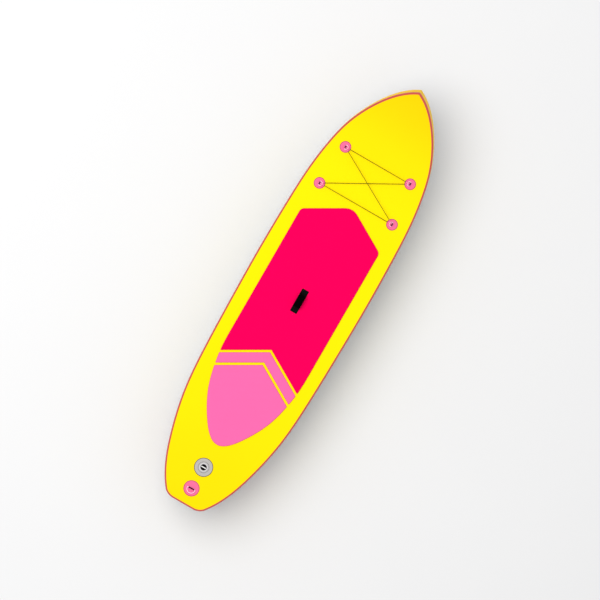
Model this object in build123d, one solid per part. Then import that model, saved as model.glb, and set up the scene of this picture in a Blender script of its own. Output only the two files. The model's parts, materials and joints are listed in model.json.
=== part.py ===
from build123d import *
import os
from math import asin, cos, degrees, hypot, pi, sin, tan

# Inflatable stand up paddleboard, in millimetres.
# +X points to the nose, +Y to port and +Z up. The origin is on the flat bottom, at mid length.

# ---- hull ----
TAIL_X = -1598.0            # straight cut of the tail
NOSE_X = 1603.0             # tip of the nose
HULL_THICK = 150.0          # drop-stitch height, bottom face to deck face
ROCKER_START = 680.0        # the hull is flat aft of this station
ROCKER_RADIUS = 4615.0      # radius of the upturned nose, measured at the bottom face
ROCKER_SWEEP = 0.25         # angle in radians that the slabs below cover, past the tip
TAIL_HALF_CUT = 78.0        # half of the straight tail cut
TAIL_CORNER = 100.0         # radius of the tail corners
TAIL_CORNER_TURN = pi / 4   # how far each corner arc turns
TIP_HALF_ANGLE = 1.06       # half angle of the nose in radians
LOW_PLANE = -10.0           # the upright walls run between these two planes
HIGH_PLANE = 265.0
# Half widths of the hull from the tail corners to the nose: (station, half width).
STATIONS = [
    (-1500, 197), (-1367, 262), (-1200, 316), (-950, 371), (-600, 400), (-200, 411), (160, 415),
    (500, 410), (800, 395), (1000, 368), (1170, 327), (1300, 273), (1400, 215), (1480, 155), (1550, 84),
]

SKIN = 2.0                  # every coated fabric layer
TAPE_WALL = 26.0            # how far a seam tape runs down or up the wall
TAPE_LIP = 9.0              # how far it laps onto the deck or the bottom
THREAD_PITCH = 100.0
THREAD_SIDE = 2.0
THREAD_MARGIN = 24.0        # threads stay this far inside the outline
VALVE_KEEP_OUT = 50.0       # and this far from the valve axis

# ---- deck pads ----
PAD_THICK = 5.0
PAD_HALF_WIDTH = 303.0
PAD_APEX_X = 686.0          # sharp front apex, before rounding
PAD_APEX_RADIUS = 92.0
PAD_CORNER_RADIUS = 40.0
PAD_SLOPE = tan(pi / 6)     # every chevron edge runs at 60 degrees to the board's axis
# Side edge of the pads from the straight side back to the middle of the tail end.
PAD_SIDE = [
    (-400, 303), (-560, 299), (-683, 281), (-835, 241), (-924, 201), (-1034, 134), (-1112, 67), (-1141, 0),
]
MAIN_REAR_X = -409.0        # apexes of the chevron edges, front to back
STRIPE_FRONT_X = -427.0
STRIPE_REAR_X = -506.5
TAIL_PAD_FRONT_X = -525.5

# ---- carry handle ----
HANDLE_X = -32.7
HANDLE_LONG = 169.0
HANDLE_WIDE = 48.0
WINDOW_GAP = 1.0
STRAP_WIDE = 40.0
STRAP_THICK = 2.5
GRIP_THICK = 12.5
GRIP_HALF = 47.0
GRIP_RISE = 38.0            # strap centre line above the deck at the grip

# ---- cargo bungee ----
REAR_PATCH = (720.0, 280.0)
FRONT_PATCH = (1015.0, 250.0)
PATCH_RADIUS = 39.0
RING_WIRE = 2.0
RING_HALF = 15.5            # half width of the D at the wire's centre
RING_LEG = 4.5              # straight legs, bar to arc centre
RING_BEND = 3.5             # bend between the bar and a leg
RING_TAB = 20.0
RING_TILT = 18.5            # the taut cord holds the ring's arc up by this angle
CORD_RADIUS = 2.0
CORD_LOW = 4.9              # cord centre above the deck where it passes under a ring's wire
CORD_HIGH = 18.9            # and where it comes back over it
CORD_TURN_OUT = 6.5         # the cord turns this far inboard of the patch centre
CORD_BEND = 6.9

# ---- leash ring ----
LEASH_X = -1479.0
LEASH_PATCH_RADIUS = 54.0
LEASH_WIRE = 2.5
LEASH_HALF = 28.5
LEASH_LEG = 4.0
LEASH_TAB = 43.0
LEASH_TILT = -2.3

TAB_CLEARANCE = 0.08        # between a ring's bar and the webbing round it
TAB_THICK = 1.5
SLIT_WIDE = 3.0
SLIT_GAP = 0.1

# ---- inflation valve ----
VALVE_X = -1316.5
VALVE_PATCH_RADIUS = 64.0
VALVE_TUBE = 26.0           # outer radius of the housing
VALVE_BORE = 22.5
VALVE_FLANGE = 35.5
VALVE_SEAT = 17.0
STEM_RADIUS = 4.0
STEM_CLEARANCE = 0.05
CAP_RADIUS = 29.0
CAP_RECESS = 21.5
CAP_BAR = (40.0, 7.0)
SPRING_WIRE = 0.5
SPRING_RADIUS = 6.2

# ---- fins ----
FIN_X = -1285.0             # middle of the fin box
BOX_LONG = 290.0
BOX_WIDE = 27.0
BOX_DEEP = 25.0
SLOT_LONG = 268.0
SLOT_WIDE = 9.4
SLOT_DEEP = 22.0
GROOVE_WIDE = 15.4
GROOVE_HIGH = 4.6
GROOVE_Z = -12.0            # middle of the grooves for the pin and the plate
FIN_TAB_LONG = 150.0
FIN_TAB_WIDE = 9.2
FIN_TAB_TOP = -6.0
FIN_ROOT_Z = -27.5
FIN_TIP_Z = -222.0
SIDE_FIN_X = -1135.0
SIDE_FIN_Y = 195.0
SIDE_FIN_TIP_Z = -88.0

DECK = HULL_THICK


def on_plane(x, z):
    """Where the wall line that starts at station x on the bottom face crosses height z."""
    if x <= ROCKER_START:
        return x
    angle = asin((x - ROCKER_START) / ROCKER_RADIUS)
    return ROCKER_START + (ROCKER_RADIUS - z) * tan(angle)


def side_points(inset):
    """Hull side from the tail corner's end to the nose tip, moved inboard by inset."""
    centre = (TAIL_X + TAIL_CORNER, TAIL_HALF_CUT)
    radius = TAIL_CORNER - inset
    start = (centre[0] - radius * cos(TAIL_CORNER_TURN), centre[1] + radius * sin(TAIL_CORNER_TURN))
    if inset == 0:
        middle = STATIONS
    else:
        side = Spline(*side_points(0))
        middle = []
        for station in STATIONS:
            along = side.tangent_at(side.param_at_point(Vector(*station)))
            middle.append((station[0] + inset * along.Y, station[1] - inset * along.X))
    return [start, *middle, (NOSE_X - inset / sin(TIP_HALF_ANGLE), 0)]


def outline(inset, z):
    """Closed plan outline of the hull's wall at height z, moved inboard by inset."""
    radius = TAIL_CORNER - inset
    port = Spline(*[(on_plane(x, z), y) for x, y in side_points(inset)])
    corner = CenterArc((TAIL_X + TAIL_CORNER, TAIL_HALF_CUT), radius, 180, -degrees(TAIL_CORNER_TURN))
    half = [corner, port]
    other = [mirror(edge, about=Plane.XZ) for edge in half]
    cut = Line((TAIL_X + inset, -TAIL_HALF_CUT), (TAIL_X + inset, TAIL_HALF_CUT))
    edges = [piece.edges()[0] for piece in (*half, *other, cut)]
    return Wire(edges).moved(Location((0, 0, z)))


def column(inset):
    """Solid inside the hull's walls, which stand square to the deck all along the board."""
    return Solid.make_loft([outline(inset, LOW_PLANE), outline(inset, HIGH_PLANE)], ruled=True)


def layer(low, high):
    """Slab between two heights above the bottom face, flat and then curved up under the nose."""
    centre = (ROCKER_START, ROCKER_RADIUS)
    sweep = degrees(ROCKER_SWEEP)
    lower = CenterArc(centre, ROCKER_RADIUS - low, 270, sweep)
    upper = CenterArc(centre, ROCKER_RADIUS - high, 270, sweep)
    back_x = TAIL_X - 50
    edges = [
        lower,
        upper,
        Line(lower @ 1, upper @ 1),
        Line((back_x, low), (ROCKER_START, low)),
        Line((back_x, high), (ROCKER_START, high)),
        Line((back_x, low), (back_x, high)),
    ]
    face = make_face([edge.edges()[0] for edge in edges])
    return extrude(Plane.XZ * face, amount=520, both=True)


def deck_angle(x):
    """Slope of the deck at station x, in radians."""
    if x <= ROCKER_START:
        return 0.0
    return asin((x - ROCKER_START) / (ROCKER_RADIUS - HULL_THICK))


def deck_location(x, y):
    """Frame on the deck at (x, y): local X runs forward along the deck and local Z is square to it."""
    angle = deck_angle(x)
    rise = (ROCKER_RADIUS - HULL_THICK) * (1 - cos(angle))
    return Location((x, y, DECK + rise), (0, -degrees(angle), 0))


def starboard(shape):
    """Mirror image across the board's centre plane."""
    return mirror(shape, about=Plane.XZ)


def tube(outer, inner, low, high, x=0.0, y=0.0):
    """Upright ring between two heights."""
    height = high - low
    middle = Pos(x, y, low + height / 2)
    return middle * (Cylinder(outer, height) - Cylinder(inner, height))


def disc(radius, low, high, x=0.0, y=0.0):
    """Upright round plate between two heights."""
    return Pos(x, y, (low + high) / 2) * Cylinder(radius, high - low)


# ---- hull pieces ----

def make_hull():
    """Skins, rail bands and seam tapes of the air chamber, and the drop-stitch core inside it."""
    whole = column(0)
    under_band = column(SKIN)
    lip_edge = column(TAPE_LIP)
    chamber = column(2 * SKIN)
    top = HULL_THICK
    deck_skin = lip_edge & layer(top - SKIN, top)
    hull_skin = lip_edge & layer(0, SKIN)
    deck_tape = ((whole - lip_edge) & layer(top - SKIN, top)) + (
        (whole - under_band) & layer(top - TAPE_WALL, top - SKIN)
    )
    hull_tape = ((whole - lip_edge) & layer(0, SKIN)) + ((whole - under_band) & layer(SKIN, TAPE_WALL))
    inner_band = (under_band - chamber) & layer(SKIN, top - SKIN)
    outer_band = (whole - under_band) & layer(TAPE_WALL, top - TAPE_WALL)
    fabric_top = chamber & layer(top - 2 * SKIN, top - SKIN)
    fabric_bottom = chamber & layer(SKIN, 2 * SKIN)
    valve_hole = disc(VALVE_TUBE + SLIT_GAP, top - 3 * SKIN, top + SKIN, VALVE_X)
    port_side = Pos(0, 300, 100) * Box(3500, 600, 400)
    starboard_side = Pos(0, -300, 100) * Box(3500, 600, 400)
    return {
        "deck_skin": deck_skin - valve_hole,
        "hull_skin": hull_skin,
        "deck_seam_tape": deck_tape,
        "hull_seam_tape": hull_tape,
        "rail_inner_port": inner_band & port_side,
        "rail_inner_starboard": inner_band & starboard_side,
        "rail_outer_port": outer_band & port_side,
        "rail_outer_starboard": outer_band & starboard_side,
        "core_fabric_top": fabric_top - valve_hole,
        "core_fabric_bottom": fabric_bottom,
        "drop_stitch_threads": make_threads(),
    }


def make_threads():
    """Upright threads that tie the two core fabrics together, square to them all along the board."""
    room = column(THREAD_MARGIN)
    length = HULL_THICK - 4 * SKIN
    threads = []
    for row in range(-4, 5):
        for step in range(-15, 16):
            x = step * THREAD_PITCH + 20
            y = row * THREAD_PITCH
            angle = asin(max(0.0, x - ROCKER_START) / ROCKER_RADIUS)
            foot = Location((x, y, ROCKER_RADIUS * (1 - cos(angle))), (0, -degrees(angle), 0))
            middle = foot * Pos(0, 0, HULL_THICK / 2)
            if not room.is_inside(middle.position):
                continue
            if hypot(x - VALVE_X, y) < VALVE_KEEP_OUT:
                continue
            threads.append(middle * Box(THREAD_SIDE, THREAD_SIDE, length))
    return threads


# ---- deck pads ----

def pad_outline():
    """Shared outline of the three deck pads, seen from above."""
    corner_x = PAD_APEX_X - PAD_HALF_WIDTH * PAD_SLOPE
    side_start = PAD_SIDE[0]
    front = FilletPolyline(
        (side_start[0], -side_start[1]),
        (corner_x, -PAD_HALF_WIDTH),
        (PAD_APEX_X, 0),
        (corner_x, PAD_HALF_WIDTH),
        side_start,
        radius=[PAD_CORNER_RADIUS, PAD_APEX_RADIUS, PAD_CORNER_RADIUS],
    )
    port = Spline(*PAD_SIDE, tangents=[(-1, 0), (0, -1)])
    other = mirror(port, about=Plane.XZ)
    return make_face([*front.edges(), port.edges()[0], other.edges()[0]])


def chevron_band(front_apex, rear_apex):
    """Everything between two chevron edges whose apexes lie on the centre line."""
    reach = 400.0
    back = reach * PAD_SLOPE
    return make_face(
        Polyline(
            (front_apex, 0),
            (front_apex - back, reach),
            (rear_apex - back, reach),
            (rear_apex, 0),
            (rear_apex - back, -reach),
            (front_apex - back, -reach),
            close=True,
        )
    )


def make_pads():
    """The three pads, cut from one outline by two chevron gaps."""
    outer = pad_outline()
    window = Pos(HANDLE_X, 0) * RectangleRounded(
        HANDLE_LONG + 2 * WINDOW_GAP, HANDLE_WIDE + 2 * WINDOW_GAP, 5
    )
    flats = {
        "deck_pad_main": (outer & chevron_band(1200, MAIN_REAR_X)) - window,
        "deck_pad_stripe": outer & chevron_band(STRIPE_FRONT_X, STRIPE_REAR_X),
        "deck_pad_tail": outer & chevron_band(TAIL_PAD_FRONT_X, -1800),
    }
    return {name: extrude(Pos(0, 0, DECK) * face, amount=PAD_THICK) for name, face in flats.items()}


# ---- carry handle ----

def handle_line():
    """Centre line of the handle's webbing in the board's centre plane, foot to foot."""
    foot_end = HANDLE_LONG / 2 - 5
    foot_bend = foot_end - 20
    grip_bend = 38
    low = SKIN + STRAP_THICK / 2
    points = [
        (-foot_end, low),
        (-foot_bend, low),
        (-grip_bend, GRIP_RISE),
        (grip_bend, GRIP_RISE),
        (foot_bend, low),
        (foot_end, low),
    ]
    return FilletPolyline(*points, radius=[8, 22, 22, 8])


def ribbon(line, thick, wide):
    """Band of the given thickness along a line in the centre plane, wide across the board."""
    face = trace(line, line_width=thick)
    solid = extrude(Plane.XZ * face, amount=wide / 2, both=True)
    return Pos(HANDLE_X, 0, DECK) * solid


def make_handle():
    """Glued base patch, webbing strap and padded grip."""
    patch = Pos(HANDLE_X, 0, DECK) * extrude(RectangleRounded(HANDLE_LONG, HANDLE_WIDE, 4), amount=SKIN)
    line = handle_line()
    strap = ribbon(line, STRAP_THICK, STRAP_WIDE)
    reach = Pos(HANDLE_X, 0, DECK + GRIP_RISE) * Box(2 * GRIP_HALF, HANDLE_WIDE, 30)
    grip = (ribbon(line, GRIP_THICK, HANDLE_WIDE - 1) & reach) - strap
    return {"handle_patch": patch, "handle_strap": strap, "handle_grip": grip}


# ---- rings on patches ----

def d_ring(half, leg, bend, wire):
    """D ring lying in the local XY plane: bar along X through the origin, arc towards -Y."""
    bar = Line((-half + bend, 0), (half - bend, 0))
    near = CenterArc((half - bend, -bend), bend, 90, -90)
    leg_near = Line((half, -bend), (half, -leg))
    bow = CenterArc((0, -leg), half, 0, -180)
    leg_far = Line((-half, -leg), (-half, -bend))
    far = CenterArc((-half + bend, -bend), bend, 180, -90)
    path = Wire([piece.edges()[0] for piece in (bar, near, leg_near, bow, leg_far, far)])
    return sweep(Plane(origin=path @ 0, z_dir=(1, 0, 0)) * Circle(wire), path=path)


def ring_tab(wire, long):
    """Webbing wrapped round a ring's bar, its ends down through the patch's slit."""
    bore = wire + TAB_CLEARANCE
    outer = bore + TAB_THICK
    across = Rotation(0, 90, 0)
    loop = across * Cylinder(outer, long)
    stem_long = SKIN + outer - SLIT_GAP
    stem = Pos(0, 0, -stem_long / 2) * Box(long, SLIT_WIDE, stem_long)
    return (loop + stem) - across * Cylinder(bore, long + 2)


def bar_height(wire):
    """Height of a ring's bar above the deck."""
    return SKIN + wire + TAB_CLEARANCE + TAB_THICK


def ring_patch(radius, long, place):
    """Round patch with a slit for the tab, laid on the deck as it curves."""
    plate = extrude(Circle(radius), amount=2 * SKIN, both=True)
    slit = Box(long + 2 * SLIT_GAP, SLIT_WIDE + 2 * SLIT_GAP, 5 * SKIN)
    return (place * (plate - slit)) & layer(DECK, DECK + SKIN)


def make_bungee_fittings():
    """Four round patches with their webbing tabs and D rings, arcs towards the centre line."""
    pieces = {}
    for name, (x, y) in (("rear", REAR_PATCH), ("front", FRONT_PATCH)):
        place = deck_location(x, y)
        bar = place * Pos(0, 0, bar_height(RING_WIRE))
        ring = d_ring(RING_HALF, RING_LEG, RING_BEND, RING_WIRE)
        fitting = {
            "patch": ring_patch(PATCH_RADIUS, RING_TAB, place),
            "tab": bar * ring_tab(RING_WIRE, RING_TAB),
            "ring": bar * Rotation(-RING_TILT, 0, 0) * ring,
        }
        for kind, solid in fitting.items():
            pieces[f"bungee_{kind}_{name}_port"] = solid
            pieces[f"bungee_{kind}_{name}_starboard"] = starboard(solid)
    return pieces


def cord_turn(corner, toward, height):
    """Point where the cord turns at a patch, on the line towards another patch."""
    span = hypot(toward[0] - corner[0], toward[1] - corner[1])
    x = corner[0] + CORD_TURN_OUT * (toward[0] - corner[0]) / span
    y = corner[1] + CORD_TURN_OUT * (toward[1] - corner[1]) / span
    return (deck_location(x, y) * Pos(0, 0, height)).position


def make_bungee_cord():
    """Closed taut cord: across at the front and the rear pair, and crossed between them."""
    front_port = FRONT_PATCH
    front_star = (FRONT_PATCH[0], -FRONT_PATCH[1])
    rear_port = REAR_PATCH
    rear_star = (REAR_PATCH[0], -REAR_PATCH[1])
    points = [
        cord_turn(front_port, front_star, CORD_LOW),
        cord_turn(front_star, front_port, CORD_HIGH),
        cord_turn(front_star, rear_port, CORD_LOW),
        cord_turn(rear_port, front_star, CORD_LOW),
        cord_turn(rear_port, rear_star, CORD_HIGH),
        cord_turn(rear_star, rear_port, CORD_LOW),
        cord_turn(rear_star, front_port, CORD_HIGH),
        cord_turn(front_port, rear_star, CORD_HIGH),
    ]
    path = FilletPolyline(*points, radius=CORD_BEND, close=True)
    print("bungee cord length", round(path.length, 1), "mm, bends of radius", CORD_BEND, "mm")
    edges = path.edges()
    middle = len(edges) // 2
    spans = []
    for half in (Wire(edges[:middle]), Wire(edges[middle:])):
        section = Plane(origin=half @ 0, z_dir=half % 0) * Circle(CORD_RADIUS)
        spans.append(sweep(section, path=half))
    return {"bungee_cord": spans[0] + spans[1]}


def make_leash_fitting():
    """Leash patch on the tail with its tab and D ring, arc towards the tail."""
    place = Pos(LEASH_X, 0, DECK) * Rotation(0, 0, -90)
    bar = place * Pos(0, 0, bar_height(LEASH_WIRE))
    ring = d_ring(LEASH_HALF, LEASH_LEG, RING_BEND, LEASH_WIRE)
    return {
        "leash_patch": ring_patch(LEASH_PATCH_RADIUS, LEASH_TAB, place),
        "leash_tab": bar * ring_tab(LEASH_WIRE, LEASH_TAB),
        "leash_ring": bar * Rotation(-LEASH_TILT, 0, 0) * ring,
    }


# ---- inflation valve ----

def make_valve():
    """Push valve: housing through the deck, nut inside, sprung stem, and a turning cap."""
    top = DECK + SKIN
    flange_top = top + 3
    under_fabric = DECK - 2 * SKIN
    seat_z = DECK - 32
    spider_z = DECK - 12
    patch = tube(VALVE_PATCH_RADIUS, VALVE_TUBE + SLIT_GAP, DECK, top)
    housing = tube(VALVE_FLANGE, VALVE_BORE, top, flange_top) + tube(VALVE_TUBE, VALVE_BORE, seat_z, top)
    housing += tube(VALVE_BORE + 1, VALVE_SEAT, seat_z, seat_z + 3)
    for turn in (0, 120, 240):
        arm = Pos((VALVE_BORE + 6) / 2, 0, spider_z - 1.5) * Box(VALVE_BORE - 4, 4, 3)
        housing += Rotation(0, 0, turn) * arm
    housing += tube(8.5, STEM_RADIUS + STEM_CLEARANCE, spider_z - 3, spider_z)
    housing -= disc(STEM_RADIUS + STEM_CLEARANCE, spider_z - 5, spider_z + 2)
    gasket = tube(VALVE_FLANGE - 1, VALVE_TUBE, under_fabric - 1.5, under_fabric)
    nut = tube(VALVE_FLANGE + 1, VALVE_TUBE, under_fabric - 11.5, under_fabric - 1.5)
    for turn in range(0, 360, 60):
        notch = Pos(VALVE_FLANGE + 1, 0, under_fabric - 6.5) * Box(5, 8, 12)
        nut -= Rotation(0, 0, turn) * notch
    stem = disc(STEM_RADIUS, seat_z - 6, DECK - 2) + disc(8, DECK - 2, DECK)
    stem += disc(11, seat_z - 6, seat_z - 3.3)
    seal = tube(20, STEM_RADIUS, seat_z - 3.3, seat_z - 0.3)
    coil = Helix(pitch=1.7, height=7.6, radius=SPRING_RADIUS)
    coil_section = Plane(origin=coil @ 0, z_dir=coil % 0) * Circle(SPRING_WIRE)
    spring = Pos(0, 0, spider_z + 0.7) * sweep(coil_section, path=coil)
    washer = tube(CAP_RADIUS - 1, VALVE_BORE + 1, flange_top + 0.05, flange_top + 1.5)
    cap_low = flange_top + 1.55
    cap_top = cap_low + 3.6
    cap = disc(CAP_RADIUS, cap_low, cap_top) + disc(VALVE_BORE - 0.1, DECK + 1, cap_low)
    cap -= disc(CAP_RECESS, DECK + 2.6, cap_top + 1)
    bar_low = DECK + 2.6
    cap += Pos(0, 0, (bar_low + cap_top) / 2 - 0.3) * Box(CAP_BAR[1], CAP_BAR[0], cap_top - bar_low - 0.6)
    pieces = {
        "valve_patch": patch,
        "valve_housing": housing,
        "valve_gasket": gasket,
        "valve_nut": nut,
        "valve_stem": stem,
        "valve_seal": seal,
        "valve_spring": spring,
        "valve_cap_washer": washer,
        "valve_cap": cap,
    }
    return {name: Pos(VALVE_X, 0, 0) * shape for name, shape in pieces.items()}


# ---- fins ----

def fin_section(front, back, thick, z):
    """Pointed foil section in a level plane."""
    middle = front + (back - front) * 0.4
    port = ThreePointArc((front, 0), (middle, thick / 2), (back, 0))
    other = ThreePointArc((back, 0), (middle, -thick / 2), (front, 0))
    return Pos(0, 0, z) * make_face([port.edges()[0], other.edges()[0]])


def make_fin_box():
    """Patch and slotted box for the centre fin, on the bottom of the board."""
    middle = Pos(FIN_X, 0, 0)
    patch = middle * extrude(RectangleRounded(BOX_LONG + 50, 104, 50), amount=-SKIN)
    base = extrude(RectangleRounded(BOX_LONG + 20, 74, 20), amount=-3)
    body = extrude(RectangleRounded(BOX_LONG, BOX_WIDE, 13), amount=-BOX_DEEP)
    slot_z = SLOT_DEEP / 2 - BOX_DEEP
    slot = Pos(0, 0, slot_z - 1) * Box(SLOT_LONG, SLOT_WIDE, SLOT_DEEP + 2)
    groove = Pos(0, 0, GROOVE_Z + SKIN) * Box(SLOT_LONG, GROOVE_WIDE, GROOVE_HIGH)
    box = (base + body) - slot - groove
    return {"fin_box_patch": patch, "fin_box": Pos(FIN_X, 0, -SKIN) * box}


def make_centre_fin():
    """Raked fin on a tab, with its cross pin, screw and square plate."""
    tab_back = FIN_X - FIN_TAB_LONG / 2 - 12
    tab_front = tab_back + FIN_TAB_LONG
    lug_front = tab_front + 22
    tab_z = (FIN_TAB_TOP + FIN_ROOT_Z) / 2
    tab = Pos((tab_back + tab_front) / 2, 0, tab_z) * Box(
        FIN_TAB_LONG, FIN_TAB_WIDE, FIN_TAB_TOP - FIN_ROOT_Z
    )
    lug_high = 6.0
    lug = Pos((tab_front + lug_front) / 2, 0, FIN_ROOT_Z + lug_high / 2) * Box(22, FIN_TAB_WIDE, lug_high)
    sections = [
        fin_section(lug_front, tab_back, FIN_TAB_WIDE, FIN_ROOT_Z),
        fin_section(tab_front - 12, tab_back - 28, 8.0, FIN_ROOT_Z - 70),
        fin_section(tab_front - 62, tab_back - 58, 6.0, FIN_ROOT_Z - 140),
        fin_section(tab_back - 30, tab_back - 86, 3.0, FIN_TIP_Z),
    ]
    blade = loft(sections)
    pin_x = tab_back + 9
    screw_x = tab_front + 12
    pin_z = GROOVE_Z
    across = Rotation(90, 0, 0)
    pin = Pos(pin_x, 0, pin_z) * across * Cylinder(2, GROOVE_WIDE - 0.8)
    head_low = FIN_ROOT_Z - 1.6
    head_top = FIN_ROOT_Z + 1.7
    fin = (tab + lug + blade) - pin
    fin -= disc(2.3, head_low - 10, -5, screw_x)
    fin -= disc(4.3, head_low - 20, head_top + 0.05, screw_x)
    plate_low = GROOVE_Z - GROOVE_HIGH / 2 + 0.5
    plate = Pos(screw_x, 0, plate_low + 1.5) * Box(14, GROOVE_WIDE - 0.8, 3)
    plate -= disc(2.06, -20, -5, screw_x)
    screw = disc(2, head_top, plate_low + 4.5, screw_x) + disc(4, head_low, head_top, screw_x)
    screw -= Pos(screw_x, 0, head_low) * Box(8.2, 1.2, 2)
    return {"centre_fin": fin, "fin_pin": pin, "fin_plate": plate, "fin_screw": screw}


def make_side_fins():
    """Two small fixed fins, each moulded with its own foot on a glued patch."""
    x = SIDE_FIN_X
    foot = Pos(x, 0, -SKIN) * extrude(RectangleRounded(130, 34, 16.5), amount=-3)
    blade = loft(
        [
            fin_section(x + 52, x - 48, 9.0, -SKIN - 2.5),
            fin_section(x + 18, x - 62, 6.5, -50),
            fin_section(x - 32, x - 74, 3.0, SIDE_FIN_TIP_Z),
        ]
    )
    fin = Pos(0, SIDE_FIN_Y, 0) * (foot + blade)
    patch = Pos(x, SIDE_FIN_Y, 0) * extrude(RectangleRounded(156, 60, 29), amount=-SKIN)
    return {
        "side_fin_port": fin,
        "side_fin_starboard": starboard(fin),
        "side_fin_patch_port": patch,
        "side_fin_patch_starboard": starboard(patch),
    }


def build():
    """Every node of the board by name."""
    nodes = {}
    nodes.update(make_hull())
    nodes.update(make_pads())
    nodes.update(make_handle())
    nodes.update(make_bungee_fittings())
    nodes.update(make_bungee_cord())
    nodes.update(make_leash_fitting())
    nodes.update(make_valve())
    nodes.update(make_fin_box())
    nodes.update(make_centre_fin())
    nodes.update(make_side_fins())
    return nodes


def write(nodes):
    """One STEP file for each node; a group of equal pieces shares one file."""
    os.makedirs("parts", exist_ok=True)
    for name, shape in nodes.items():
        solids = shape if isinstance(shape, list) else list(shape.solids())
        whole = solids[0] if len(solids) == 1 else Compound(children=solids)
        export_step(whole, f"parts/{name}.step")


write(build())
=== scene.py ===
import json
import math

import bmesh
import bpy
import numpy as np
from mathutils import Matrix, Vector, geometry


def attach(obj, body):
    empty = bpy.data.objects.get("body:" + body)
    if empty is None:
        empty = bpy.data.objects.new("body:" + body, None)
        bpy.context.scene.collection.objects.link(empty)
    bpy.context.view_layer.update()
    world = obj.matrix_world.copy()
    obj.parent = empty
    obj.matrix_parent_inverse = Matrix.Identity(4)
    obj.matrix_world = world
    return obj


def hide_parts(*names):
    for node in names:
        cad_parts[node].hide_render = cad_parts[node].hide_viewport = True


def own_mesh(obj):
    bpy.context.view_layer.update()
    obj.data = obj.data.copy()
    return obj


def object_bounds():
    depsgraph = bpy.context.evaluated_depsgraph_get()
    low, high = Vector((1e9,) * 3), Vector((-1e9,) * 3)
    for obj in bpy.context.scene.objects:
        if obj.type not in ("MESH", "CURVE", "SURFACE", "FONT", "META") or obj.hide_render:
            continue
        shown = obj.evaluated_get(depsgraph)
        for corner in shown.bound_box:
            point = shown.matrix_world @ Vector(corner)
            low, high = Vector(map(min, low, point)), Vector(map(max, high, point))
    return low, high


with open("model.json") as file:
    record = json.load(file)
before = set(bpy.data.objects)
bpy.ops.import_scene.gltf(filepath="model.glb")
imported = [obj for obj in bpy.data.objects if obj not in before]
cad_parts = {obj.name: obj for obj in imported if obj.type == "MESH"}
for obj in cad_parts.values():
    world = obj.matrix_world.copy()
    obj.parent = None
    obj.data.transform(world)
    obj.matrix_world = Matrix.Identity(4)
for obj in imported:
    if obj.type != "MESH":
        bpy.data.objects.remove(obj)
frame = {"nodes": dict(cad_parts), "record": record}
cad_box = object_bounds()
nodes = frame["nodes"]

# Inflatable stand up paddleboard. Lengths are in metres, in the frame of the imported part:
# +X to the nose, +Y to port, +Z up, origin on the flat bottom at mid length.

# ---- hull, as the part has it ----
TAIL_X = -1.598
NOSE_X = 1.603
THICK = 0.150
ROCKER_START = 0.680
ROCKER_RADIUS = 4.615
DECK_RADIUS = ROCKER_RADIUS - THICK
TAIL_HALF_CUT = 0.078
TAIL_CORNER = 0.100
TIP_ROUND = 0.014
STATIONS = [
    (-1.500, 0.197), (-1.367, 0.262), (-1.200, 0.316), (-0.950, 0.371), (-0.600, 0.400),
    (-0.200, 0.411), (0.160, 0.415), (0.500, 0.410), (0.800, 0.395), (1.000, 0.368),
    (1.170, 0.327), (1.300, 0.273), (1.400, 0.215), (1.480, 0.155), (1.550, 0.084),
]
RAIL_BULGE = 0.005          # how far the side wall swells past its two seams
NOSE_BULGE = 0.0015         # and how far at the nose
EDGE_ROUND = 0.003          # radius where the deck turns down into the wall
TAPE_THICK = 0.0007
TAPE_DECK = 0.0122          # inboard edge of a seam tape, from the widest line
TAPE_WALL = 0.026           # how far a tape runs over the wall
SKIN = 0.0018
SKIN_EDGE = 0.0083          # edge of a skin, from the widest line
CORE_EDGE = 0.0105          # edge of a core fabric
CORE_DEPTH = 0.0022         # from a face of the hull to its core fabric
CORE_THICK = 0.0016
RAIL_EDGE = 0.0045          # from a face of the hull to the rail bands
RAIL_THICK = 0.0016
LINING_DEPTH = 0.0018       # from the outside of the wall to the inner band

# ---- pads ----
PAD_THICK = 0.005
PAD_HALF_WIDTH = 0.303
PAD_APEX_X = 0.686
PAD_APEX_RADIUS = 0.092
PAD_CORNER_RADIUS = 0.040
PAD_SLOPE = math.tan(math.pi / 6)
PAD_SIDE = [
    (-0.400, 0.303), (-0.560, 0.299), (-0.683, 0.281), (-0.835, 0.241), (-0.924, 0.201),
    (-1.034, 0.134), (-1.112, 0.067), (-1.141, 0.0),
]
MAIN_REAR_X = -0.409
STRIPE_FRONT_X = -0.427
STRIPE_REAR_X = -0.5065
TAIL_PAD_FRONT_X = -0.5255

# ---- fittings ----
HANDLE_X = -0.0327
HANDLE_LONG = 0.169
HANDLE_WIDE = 0.048
STRAP_WIDE = 0.040
STRAP_THICK = 0.0025
GRIP_THICK = 0.0125
GRIP_HALF = 0.047
GRIP_RISE = 0.038
SEWN_IN = 0.0085            # sleeve end to its row of stitches
REAR_PATCH = (0.720, 0.280)
FRONT_PATCH = (1.015, 0.250)
PATCH_RADIUS = 0.039
PATCH_THICK = 0.002
RIM_LEVELS = 6              # levels of a patch that its rim colour covers
RING_WIRE = 0.002
RING_TAB = 0.020
CORD_RADIUS = 0.002
CORD_LOW = 0.0049
CORD_HIGH = 0.0189
CORD_TURN_OUT = 0.0065
CORD_STRAIGHT = 0.015       # a long run is straight from this far off its corner
SLEEVE_RADIUS = 0.0029
BAND_RADIUS = 0.0030
SLEEVE_REACH = 0.035        # from a patch's middle to a sleeve's end
LEASH_X = -1.479
LEASH_PATCH_RADIUS = 0.054
LEASH_WIRE = 0.0025
LEASH_TAB = 0.043
TAB_CLEARANCE = 0.00008
TAB_THICK = 0.0015
VALVE_X = -1.3165
VALVE_PATCH_RADIUS = 0.064
VALVE_HOLE = 0.0262
FIN_X = -1.285
SIDE_FIN_X = -1.135
SIDE_FIN_Y = 0.195


# ================================================================ curves in plan

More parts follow.
